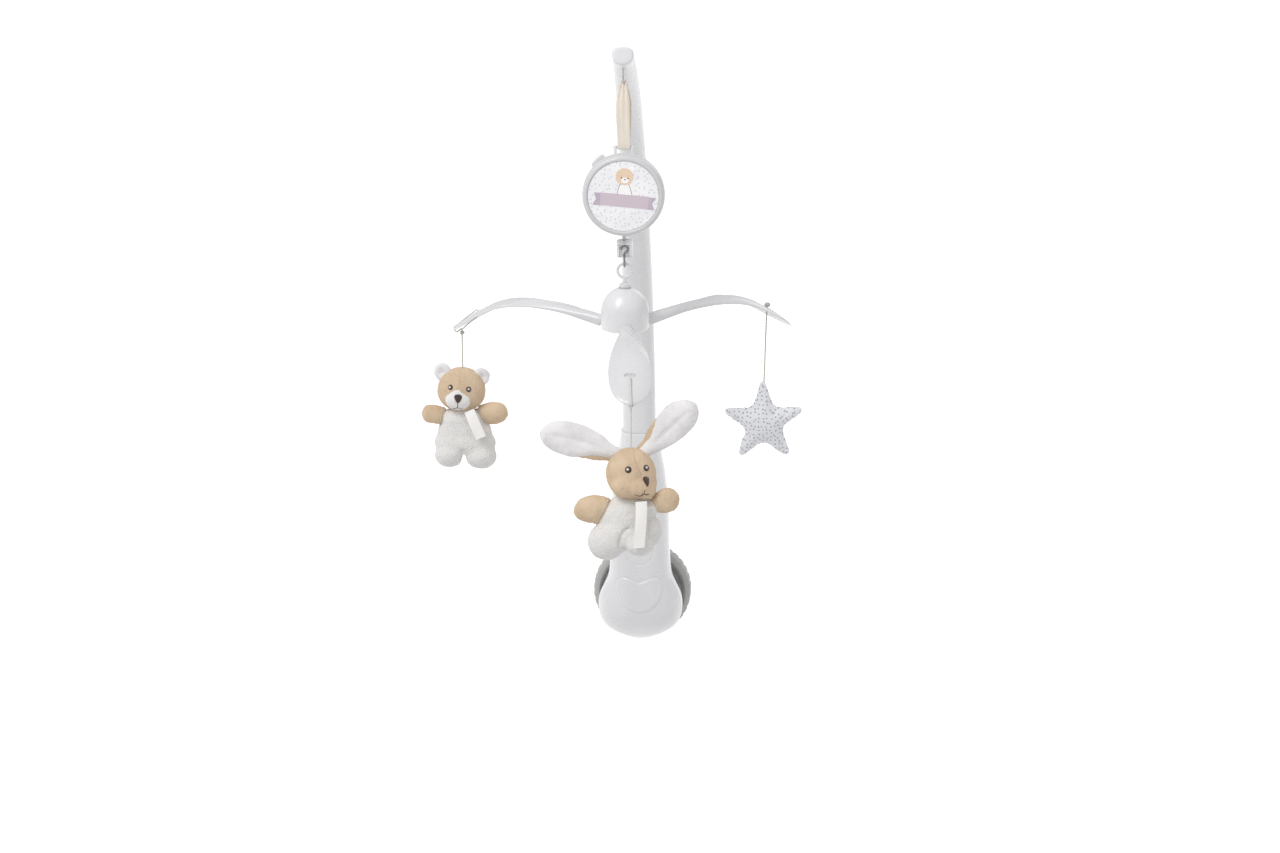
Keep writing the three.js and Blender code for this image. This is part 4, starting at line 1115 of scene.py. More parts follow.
def music_box():
    f = BOX_FRONT + 10
    outer = [(0, BOX_BACK), (8, BOX_BACK - .15), (16, BOX_BACK - .6), (25, BOX_BACK - 2.6), (31, BOX_BACK - 6), (35, BOX_BACK - 11.5), (36.6, BOX_BACK - 17), (36.6, f + 1.1), (36.1, f + GAP),
             (34.4, f + GAP), (34.4, BOX_BACK - 16), (33, BOX_BACK - 12.4), (29.6, BOX_BACK - 7.8), (24, BOX_BACK - 4.8), (15.6, BOX_BACK - 2.9), (0, BOX_BACK - 2.4)]
    cup = turned("rear_case_skin", outer, (0, 0, BOX_Z), "y", 144, [0, 3, 6, 5, 4, 4, 4, .5, .5, .3, .3, 2, 3, 3, 3, 0], False, 5, 35)
    bar = tube("bar", [(-8.8, REACH, BAIL_Z), (-3, REACH, BAIL_Z), (3, REACH, BAIL_Z), (8.8, REACH, BAIL_Z)], 1.25, 28, 24)
    legs = []
    for x in (-7.6, 7.6):
        sec = fillet([(-1.1, -1.6), (1.1, -1.6), (1.1, 1.6), (-1.1, 1.6)], .5, 4, True)
        legs.append(skin("leg", [[(x + p[0] * k, REACH + p[1] * k, z) for p in sec] for z, k in
                                 ((BOX_Z + 34.9, 1.25), (BOX_Z + 36.6, 1.08), (BOX_Z + 38.5, 1), (BAIL_Z + .9, 1), (BAIL_Z + 1.4, .8))], sharp=40))
    boolean(cup, [bar] + legs, "UNION", 35)
    boolean(cup, [drum("c", (0, BOX_BACK - 8, BOX_Z), (0, BOX_BACK + 4, BOX_Z), 3.4), drum("c", (0, REACH, BOX_Z - 40), (0, REACH, BOX_Z - 30), 3)], "DIFFERENCE", 35)
    finish_piece(cup, WHITE2, "music_box", "music_box_rear_case", slot="shell")
    y = BOX_FRONT
    prof = [(31.9, y + .5), (32.7, y - .4), (34.6, y - .2), (36.4, y + 1.8), (BOX_R, y + 4.6), (BOX_R, y + 10), (33.7, y + 10), (33.7, y + 12.5), (32.6, y + 12.5), (32.6, y + 4.6), (31.9, y + 4.6)]
    ring = turned("front_ring", prof, (0, 0, BOX_Z), "y", 160, [.3, .6, 1.2, 1.4, 1.2, .4, .2, .3, .3, .2, .3], True, 5, 45)
    finish_piece(ring, RINGMAT, "music_box", "music_box_ring", slot="ring")
    disc = turned("label_disc", [(0, y + .45), (12, y + .45), (31.4, y + .45), (31.8, y + .75), (31.8, y + 3.4), (0, y + 3.4)], (0, 0, BOX_Z), "y", 128, .3, False, 3, 40)
    finish_piece(disc, DISC, "music_box", "music_box_face", slot="label")
    # the print: a plain little bear head over a blank two-tailed banner
    f0 = y + .47
    dz = -2.4
    cx, cz = 1.2, 463.2 + dz
    ear = [oval(cx + sx * 6.3, cz + 7.2, 2.5, 2.6) for sx in (-1, 1)]
    for i, e in enumerate(ear):
        plate2d(f"print_ear_{i + 1}", e, f0, .10, INK_WHITE)
    body = [(cx - 6.6, 446.6 + dz), (cx - 5.2, 452.6 + dz), (cx - 3.4, 457 + dz), (cx + 3.4, 456.6 + dz), (cx + 5, 452 + dz), (cx + 6.6, 446 + dz), (cx + 5, 443 + dz), (cx - 5, 443.4 + dz)]
    body = fillet(body, 1.6, 6, True)
    plate2d("print_body_edge", np.mean(body, 0) + (np.array(body) - np.mean(body, 0)) * 1.07, f0, .10, INK_DARK)
    plate2d("print_body", body, f0, .15, INK_WHITE)
    plate2d("print_head", oval(cx, cz, 7.8, 7.7, 96, 0, .96), f0, .21, INK_SKIN)
    plate2d("print_muzzle", oval(cx + .3, cz - 3.3, 3.5, 2.6), f0, .25, INK_WHITE)
    for i, (ex, ez, r1, r2) in enumerate(((-2.6, -.9, .62, .75), (3.1, -1.5, .62, .75), (.3, -2.6, .8, .55))):
        plate2d(f"print_dot_{i + 1}", oval(cx + ex, cz + ez, r1, r2, 32), f0, .29, INK_DARK)
    tilt = math.radians(-5.2)
    bcx, bcz = .8, 440.5 + dz + .6

    def turned_xy(pts):
        return [(bcx + px * math.cos(tilt) - pz * math.sin(tilt), bcz + px * math.sin(tilt) + pz * math.cos(tilt)) for px, pz in pts]
    left = [(-27.6, 5.4), (-18, 5.7), (-18, -5.5), (-27.9, -5.9), (-25.2, -.3)]
    right = [(27.9, 5.4), (18, 5.7), (18, -5.5), (27.4, -5.7), (24.8, -.2)]
    plate2d("print_banner_left", fillet(turned_xy(left), .3, 3, True), f0, .26, INK_BANNER2)
    plate2d("print_banner_right", fillet(turned_xy(right), .3, 3, True), f0, .26, INK_BANNER2)
    plate2d("print_banner", fillet(turned_xy([(-21.5, 6), (21.5, 6), (21.5, -5.4), (-21.5, -5.4)]), .4, 3, True), f0, .31, INK_BANNER)


def winding_key():
    k0 = BOX_BACK + 1.2
    n, sides = 90, 64
    a = np.arange(sides) / sides * TAU
    rings = []
    for x in np.linspace(-1, 1, n):
        e = abs(x)
        h = 7.4 - 2.6 * (1 - e) ** 2
        end = math.sqrt(max(0.0, 1 - (max(0.0, e - .93) / .07) ** 2))
        h *= .25 + .75 * end
        th = 1.7 * (.35 + .65 * end) * (1 + .25 * (1 - e) ** 2)
        dish = -.5 * math.exp(-((e - .62) / .25) ** 2)
        rings.append([(x * 37.5, k0 + 4.4 + (th + dish * abs(math.sin(q)) * .8) * power(math.sin(q), .6), h * power(math.cos(q), .7)) for q in a])
    paddle = skin("key_skin", rings, sharp=50)
    hub = turned("h", [(0, k0), (6.2, k0), (6.2, k0 + 5.6), (4.6, k0 + 7), (0, k0 + 7.1)], (0, 0, 0), "y", 72, .6)
    arbor = turned("h", [(0, BOX_BACK - 19), (2, BOX_BACK - 19), (2, k0 + 1), (0, k0 + 1)], (0, 0, 0), "y", 36, .3)
    boolean(paddle, [hub, arbor], "UNION", 40)
    m = Matrix.Translation((0, 0, BOX_Z * MM)) @ Matrix.Rotation(math.pi / 4, 4, "Y")
    paddle.data.transform(m)
    finish_piece(paddle, WHITE2, "key", "winding_key", slot="shell")


def output_shaft():
    z = BOX_Z
    prof = [(0, z - 48.5), (1.4, z - 48.5), (2, z - 47.8), (2, z - 31.4), (3.6, z - 31.4), (3.6, z - 29.8), (2, z - 29.8), (2, z - 26), (8, z - 26), (8, z - 22.6), (0, z - 22.6)]
    o = turned("shaft_skin", prof, (0, REACH, 0), "z", 120, .25, False, 3, 40,
               lambda r, h, a: (-.55 * np.clip(np.cos(a * 24) * 2, 0, 1) if r > 7.5 else np.zeros_like(a)))
    finish_piece(o, STEEL, "spider", "output_shaft", slot="steel")


# ------------------------------------------------------------------ swivel and hub
def swivel():
    b0, b1, sides = 383.7, 399.4, 96
    a = np.arange(sides) / sides * TAU
    rings = []
    for z, k in [(b0, .82), (b0 + .35, .93), (b0 + .9, .985), (b0 + 1.6, 1)] + [(q, 1) for q in np.linspace(b0 + 3, b1 - 3, 10)] + [(b1 - 1.6, 1), (b1 - .9, .985), (b1 - .35, .93), (b1, .82)]:
        rings.append([(7.2 * k * power(math.cos(q), .5), REACH + 5.2 * k * power(math.sin(q), .5), z) for q in a])
    o = skin("swivel_housing", rings, sharp=40)
    boolean(o, [drum("c", (0, REACH, b1 - 5.6), (0, REACH, b1 + 2), 2 + GAP), cutter_box("p", (-4.9, REACH - 8, b0 - 1), (4.9, REACH - 2.2, b1 - 3.6))], sharp=35)
    finish_piece(o, CLEAR, "spider", "swivel_block", slot="clear")
    y, top = REACH - 3.6, EYE_Z + 6.4
    pts = [(-2.8, y, b1 - 7.6), (-1.6, y, b1 - 5.4), (1, y, b1 - 5), (3.2, y, b1 - 7), (2.4, y, b1 - 9.6), (.3, y, b1 - 11.6), (0, y, b1 - 14.5), (0, y, top + 1.5), (0, y + .6, top - 1.4),
           (0, REACH, top - 2.75), (0, REACH + 3, top - 1.4), (0, REACH + 3.6, top + 1.4)]
    o = tube("hook_wire", pts, .9, 20, 130)
    finish_piece(o, STEEL_DARK, "spider", "swivel_hook", slot="steel")
    n1, n2 = 96, 28
    rings = []
    for q in np.arange(n1) / n1 * TAU:
        c = np.array([6.4 * math.cos(q), REACH, EYE_Z + 6.4 * math.sin(q)])
        out = np.array([math.cos(q), 0, math.sin(q)])
        rings.append([c + out * 1.3 * math.cos(p) + np.array([0, 1.3 * math.sin(p), 0]) for p in np.arange(n2) / n2 * TAU])
    r = np.array(rings)
    faces = grid_faces(n1, n2) + [[(n1 - 1) * n2 + j, (n1 - 1) * n2 + (j + 1) % n2, (j + 1) % n2, j] for j in range(n2)]
    ring = mesh_object("eye_skin", r.reshape(-1, 3), faces)
    stem = turned("s", [(0, 345.5), (7.4, 345.5), (7.4, 347.6), (3.6, 347.6), (3.6, 350.6), (5.5, 357.2), (5.2, 358.6), (2.2, 360.4), (2.2, EYE_Z - 5.6), (0, EYE_Z - 5.6)], (0, REACH, 0), "z", 72, .4)
    boolean(ring, [stem], "UNION", 45)
    finish_piece(ring, MILKY, "spider", "hub_eye", slot="clear")


def slot_cutter(k, r, half_t, half_r, z0, z1, n=64, e=.7):
    dx, dy = turn(k)
    rings = []
    for z in (z0, z1):
        ring = []
        for q in np.arange(n) / n * TAU:
            side, rad = half_t * power(math.cos(q), e), r + half_r * power(math.sin(q), e)
            ring.append((dx * rad - dy * side, REACH + dy * rad + dx * side, z))
        rings.append(ring)
    return skin("slot", rings)


def hub():
    dome = [(0, HUB_TOP), (5, HUB_TOP - .6), (9.5, HUB_TOP - 2.2), (14.2, HUB_TOP - 5.6), (18, HUB_TOP - 10.2), (20.6, HUB_TOP - 15.6), (HUB_R, HUB_TOP - 22)]
    line = [tuple(p[:2]) for p in catmull([(a, b, 0) for a, b in dome], 60)]
    inner = [(18.6, HUB_TOP - 16.4), (16.2, HUB_TOP - 11.6), (12.9, HUB_TOP - 7.4), (8.8, HUB_TOP - 4.4), (0, HUB_TOP - 2.6)]
    prof = line + [(HUB_R, HUB_BOTTOM + .8), (HUB_R - .7, HUB_BOTTOM), (HUB_R - 2.2, HUB_BOTTOM), (HUB_R - 2.2, HUB_TOP - 22)] + inner
    prof[0] = (0.0, prof[0][1])
    o = turned("dome_skin", prof, (0, REACH, 0), "z", 160, 0, sharp=35)
    cuts = []
    for k in range(3):
        dx, dy = turn(k)
        rings = []
        for rad in (HUB_R - 7, HUB_R - 3.5, HUB_R - 1, HUB_R + 1, HUB_R + 7):
            w, high = spline(HALF, 21.4) - .3, arm_top(rad) - 1.1
            sec = fillet([(-w, HUB_BOTTOM - 3), (w, HUB_BOTTOM - 3), (w, high), (-w, high)], [0, 0, 2.6, 2.6], 6, True)
            rings.append([(dx * rad - dy * p[0], REACH + dy * rad + dx * p[0], p[1]) for p in sec])
        cuts.append(skin("c", rings))
    cuts.append(drum("c", (0, REACH, HUB_TOP - 12), (0, REACH, HUB_TOP + 5), 5.7, 64))
    boolean(o, cuts, sharp=35)
    finish_piece(o, WHITE, "spider", "hub_dome", slot="shell")
    o = turned("floor_disc", [(0, HUB_BOTTOM + .3), (4, HUB_BOTTOM + .3), (4.6, HUB_BOTTOM + .8), (12, HUB_BOTTOM + .8), (12.6, HUB_BOTTOM + .3), (16.5, HUB_BOTTOM + .3), (16.5, HUB_BOTTOM + 2), (0, HUB_BOTTOM + 2)], (0, REACH, 0), "z", 96, .2)
    finish_piece(o, WHITE2, "spider", "hub_floor", slot="shell")


def spider_arm(k, name, node):
    rs = np.r_[np.linspace(9, 21.2, 12), [22.3, 22.4, 22.6, 23.2, 24.0], np.linspace(24.6, 168, 200), 178 - 10 * (np.linspace(1, 0, 40) ** 1.7)]
    sides = 112
    a = np.arange(sides) / sides * TAU
    rings = []
    for r in rs:
        w, crown = spline(HALF, r), spline(CROWN, r)
        thick = 6.2 if r < 22.5 else table(THICK, r)
        top = arm_top(r)
        ring = []
        for q in a:
            c, s = math.cos(q), math.sin(q)
            x = w * power(c, .8)
            drop = crown * (x / w) ** 2
            z = top - drop - thick * .5 * (1 - s ** .6 if s >= 0 else 1 + abs(s) ** .6)
            if s > 0:
                # a soft ridge crosses the top from one edge at the root to the other
                t = (r - 46) / 74
                if -.1 < t < 1.1:
                    d = (x - w * (-.95 + 1.9 * t)) * .96
                    fade = smoothstep(-.1, .05, t) * (1 - smoothstep(.95, 1.1, t)) * min(1, s * 3)
                    z += fade * (.55 * math.exp(-(d / 1.1) ** 2) - .45 * smoothstep(0, 3.5, d) * smoothstep(1.2, .6, t))
                # a low lip round the string slot
                e = math.hypot(x / 6.9, (r - SLOT_R) / 4.1)
                z += .35 * math.exp(-((e - 1) / .13) ** 2)
                # a thin raised border along the leaf's edge
                z += .18 * math.exp(-((1 - abs(x) / w) / .05) ** 2) * smoothstep(60, 110, r) * min(1, s * 2)
            ring.append(arm_at(k, r, x, z))
        rings.append(ring)
    o = skin(name, rings, sharp=60)
    boolean(o, [slot_cutter(k, SLOT_R, 5.5, 2.7, arm_top(SLOT_R) - 12, arm_top(SLOT_R) + 12)], sharp=45)
    finish_piece(o, ARM, "spider", node, slot="shell")


def loops_and_knots():
    for k, name in ((2, "bear"), (0, "bunny")):
        up = lambda r, lift: arm_at(k, r, 0, arm_top(r) + lift)
        under = lambda r, drop: arm_at(k, r, 0, arm_top(r) - table(THICK, r) - drop)
        pts = [arm_at(k, HANG_R - .35, .25, KNOT_Z + .6), arm_at(k, HANG_R - .9, .15, KNOT_Z + 3.6), under(163, 3.4), under(SLOT_R + .4, 2), up(SLOT_R + .2, 1.6), up(161, 1.5), up(169, 1.25),
               up(176, 1.2), arm_at(k, 180, 0, arm_top(178) - .6), arm_at(k, 177.4, 0, arm_top(178) - 4.4), arm_at(k, HANG_R + .9, -.15, KNOT_Z + 3.6), arm_at(k, HANG_R + .35, -.25, KNOT_Z + .6)]
        o = tube(f"cord_loop_{name}", pts, STRING_R, 14, 260, rope=.34, pitch=2.6)
        finish_piece(o, THREAD_PALE, "spider", f"loop_{name}", slot="thread")
        # an overhand knot
        line = []
        for t in np.linspace(0, TAU, 90, endpoint=False):
            line.append(((1.05 + .75 * math.cos(3 * t)) * math.cos(2 * t), (1.05 + .75 * math.cos(3 * t)) * math.sin(2 * t), .95 * math.sin(3 * t)))
        cx, cy, cz = arm_at(k, HANG_R, 0, KNOT_Z)
        line = [(cx + p[0], cy + p[1], cz + p[2]) for p in line]
        line = line + line[:2]
        o = tube(f"overhand_knot_{name}", line, STRING_R * .98, 12, 200, rope=.3, pitch=2.2)
        finish_piece(o, THREAD_PALE, f"{name}_line", f"knot_{name}", slot="thread")
    # the star's toggle bead
    rings = []
    prof = [(0, 1.7), (.8, 1.75), (1.0, 2.05), (1.7, 1.85), (2.5, 1.1), (2.9, 0), (2.5, -1.1), (1.7, -1.85), (1.0, -2.05), (.8, -1.9), (0, -1.9)]
    o = turned("toggle_bead", [(r, h + BEAD_Z) for r, h in prof], (SX, SY, 0), "z", 64, .4)
    finish_piece(o, GREY, "spider", "knot_star", slot="thread")


base_front()
base_rear()
clamp()
curved_arm()
ribbon()
music_box()
winding_key()
output_shaft()
swivel()
hub()
for number, label, node_name in ((0, "leaf_front", "arm_front"), (1, "leaf_right", "arm_right"), (2, "leaf_left", "arm_left")):
    spider_arm(number, label, node_name)
loops_and_knots()
for node_name, material in (("movement_plate", STEEL_DARK), ("comb", STEEL), ("spring_barrel", BRASS), ("pinned_drum", BRASS)):
    NODES[node_name].data.materials.clear()
    NODES[node_name].data.materials.append(material)


# ------------------------------------------------------------------ soft pieces
def subdivided(o, levels=1):
    m = o.modifiers.new("fine", "SUBSURF")
    m.levels = m.render_levels = levels
    settle(o)
    smooth(o)
    return o


def puffed(o, voxel, pressure, frames_n, cap, tension=15, bend=0.5, fine=1):
    """Blows a closed skin up as sewn cloth. The solver works on a copy ten times full size; a point moves at most cap mm."""
    m = o.modifiers.new("remesh", "REMESH")
    m.mode = "VOXEL"
    m.voxel_size = voxel * MM
    settle(o)
    rest = arrays(o)
    centre = rest.mean(0)
    put(o, (rest - centre) * 10)
    m = o.modifiers.new("cloth", "CLOTH")
    s = m.settings
    s.quality = 6
    s.mass = 0.3
    s.tension_stiffness = s.compression_stiffness = tension
    s.shear_stiffness = tension * 0.4
    s.bending_stiffness = bend
    s.tension_damping = s.compression_damping = s.shear_damping = 5
    s.air_damping = 2
    s.use_pressure = True
    s.uniform_pressure_force = pressure
    s.effector_weights.gravity = 0
    m.collision_settings.use_collision = False
    m.collision_settings.use_self_collision = False
    m.point_cache.frame_start, m.point_cache.frame_end = 1, frames_n
    for k in range(1, frames_n + 1):
        SCENE.frame_set(k)
    settle(o)
    SCENE.frame_set(1)
    move = arrays(o) / 10 + centre - rest
    far = np.linalg.norm(move, axis=1)[:, None]
    put(o, rest + move * np.minimum(1, cap / np.maximum(far, 1e-9)))
    smooth(o)
    if fine:
        subdivided(o, fine)
    return o


def moved(o, dx, dy, dz=0.0):
    put(o, arrays(o) + np.array([dx, dy, dz]))
    return o


def raise_by(o, lift):
    put(o, arrays(o) + normals(o) * np.asarray(lift)[:, None])
    smooth(o)
    return o


def pile(o, amount=0.22, size=2.0, waves=0.4, wave_size=11, seed=0.0, curls=0.0, curl_size=1.5):
    """Tufts and soft lumps in the surface itself."""
    co = arrays(o)
    lift = waves * fbm(co, wave_size, 2, seed) + amount * fbm(co, size, 2, seed + 5)
    if curls:
        lift += curls * (0.5 - np.abs(fbm(co, curl_size, 1, seed + 9)) * 1.6)
    return raise_by(o, lift)


def line_groove(co, line, depth, width, front=-1):
    """How far a sewn seam along line pulls each point in. Only the side of the piece that the line is on counts."""
    line = np.asarray(line, float)
    best = np.full(len(co), 1e9)
    for a, b in zip(line[:-1], line[1:]):
        d = b - a
        t = np.clip(((co - a) @ d) / (d @ d + 1e-12), 0, 1)
        best = np.minimum(best, np.linalg.norm(co - a - t[:, None] * d, axis=1))
    return -depth * np.exp(-(best / width) ** 2)


def union_skin(name, parts, voxel, relax=6):
    return remeshed(joined(name, parts), voxel, relax, 0.5)


def limb(name, path, rz, ry, sides=64, steps=60, cap_ends=True):
    """A stuffed limb: elliptical sections across a line in the X-Z plane. rz and ry are tables by share of its length."""
    line = catmull(path, steps)
    t = np.gradient(line, axis=0)
    t[:, 1] = 0
    t /= np.linalg.norm(t, axis=1)[:, None]
    across = np.stack([-t[:, 2], np.zeros(len(t)), t[:, 0]], 1)
    a = np.arange(sides) / sides * TAU
    rings = []
    for i, p in enumerate(line):
        s = i / (len(line) - 1)
        r1, r2 = max(.25, spline(rz, s)), max(.2, spline(ry, s))
        rings.append(p + np.outer(np.cos(a) * r1, across[i]) + np.outer(np.sin(a) * r2, np.array([0, 1, 0])))
    return skin(name, rings)


def on_ellipsoid(x, z, c, r):
    """The front of an ellipsoid at x, z, and its outward normal there."""
    u, w = (x - c[0]) / r[0], (z - c[2]) / r[2]
    v = -math.sqrt(max(0.02, 1 - u * u - w * w))
    n = np.array([u / r[0], v / r[1], w / r[2]])
    return np.array([x, c[1] + r[1] * v, z]), n / np.linalg.norm(n)


def front_of(o, x, z):
    """The foremost point of a mesh near x, z, and its normal."""
    co, nn = arrays(o), normals(o)
    d = np.hypot(co[:, 0] - x, co[:, 2] - z)
    near = np.where((d < 1.6) & (nn[:, 1] < 0.25))[0]
    if not len(near):
        near = np.argsort(d)[:6]
    i = near[np.argmin(co[near, 1])]
    pick = near[co[near, 1] < co[i, 1] + 2.0]
    p = co[pick].mean(0)
    n = nn[pick].mean(0)
    return np.array([x, p[1], z]), n / np.linalg.norm(n)


def stitched_patch(name, outline, centre, normal, height, ridges, direction=0.0, sink=0.35, rings_n=12, ridge_depth=0.07):
    """A satin-stitched patch: a low dome over a flat outline, with the ridges of its threads."""
    p = np.array(outline, float)
    n = np.array(normal, float)
    u = np.cross([0, 0, 1.0], n)
    u = np.array([1.0, 0, 0]) if np.linalg.norm(u) < 1e-6 else u / np.linalg.norm(u)
    if u[0] < 0:
        u = -u
    w = np.cross(n, u)
    if w[2] < 0:
        w = -w
    rings = [[np.array(centre) + u * q[0] + w * q[1] - n * sink for q in p]]
    for k in np.linspace(0, 1, rings_n)[:-1]:
        s = 1 - k
        h = height * math.sqrt(1 - s * s) if s < 1 else 0.0
        ring = []
        for q in p * s:
            along = q[0] * math.cos(direction) + q[1] * math.sin(direction)
            ring.append(np.array(centre) + u * q[0] + w * q[1] + n * (h + ridge_depth * math.cos(along * ridges) * (0.3 + 0.7 * (1 - s ** 4))))
        rings.append(ring)
    return skin(name, rings)


def nose_outline(w, h):
    """A rounded, downward-pointing nose."""
    pts = [(-.92, .66), (-.45, .93), (.45, .93), (.92, .66), (.97, .2), (.66, -.42), (.22, -.9), (-.16, -.92), (-.6, -.46), (-.96, .2)]
    line = catmull([(x * w, z * h, 0) for x, z in pts + pts[:1]], 80)[:-1]
    return [tuple(p[:2]) for p in line]


def eye(prefix, x, z, host, r, hi):
    p, n = front_of(host, x, z)
    dark = stitched_patch(f"{prefix}_ring", oval(0, 0, r, r * 1.05, 72), p, n, r * .42, 9 / r, 0.5)
    # painted highlight: a small white thread dome set up and left of each eye's centre
    white = stitched_patch(f"{prefix}_light", oval(0, 0, hi, hi, 40), p + n * (r * .43) + np.array([-.1 * r, 0, .1 * r]), n, hi * .35, 14, 0.5, 0.25)
    return dark, white


def strip(name, centre, width, across, thick=0.35, curl=0.5, n=60, cols=17, wob=0.25):
    """A flat strip of cloth along a line, a little curled across."""
    line = catmull(centre, n)
    across = np.array(across, float)
    across /= np.linalg.norm(across)
    t = np.gradient(line, axis=0)
    t /= np.linalg.norm(t, axis=1)[:, None]
    nn = np.cross(t, across)
    nn /= np.linalg.norm(nn, axis=1)[:, None]
    nn *= np.where(nn[:, 1] > 0, -1, 1)[:, None]
    verts = []
    for i in range(n):
        for c in np.linspace(-1, 1, cols):
            s = i / (n - 1)
            h = -curl * c * c + wob * math.sin(6 * s + 1.5 * c)
            verts.append(line[i] + across * c * width / 2 + nn[i] * h)
    o = mesh_object(name, verts, grid_faces(n, cols, False))
    m = o.modifiers.new("thick", "SOLIDIFY")
    m.thickness = thick * MM
    m.offset = 0
    settle(o)
    smooth(o, 50)
    return o


def soft(o, material, body, *nodes, slot, fill=0.85):
    finish_piece(o, material, body, *nodes, slot=slot)
    return o


# ------------------------------------------------------------------ bear
def rolled(p, c, degrees):
    """Turns a point about c in the X-Z plane, clockwise as the viewer sees it."""
    q = math.radians(degrees)
    x, z = p[0] - c[0], p[1] - c[1]
    return c[0] + x * math.cos(q) + z * math.sin(q), c[1] - x * math.sin(q) + z * math.cos(q)


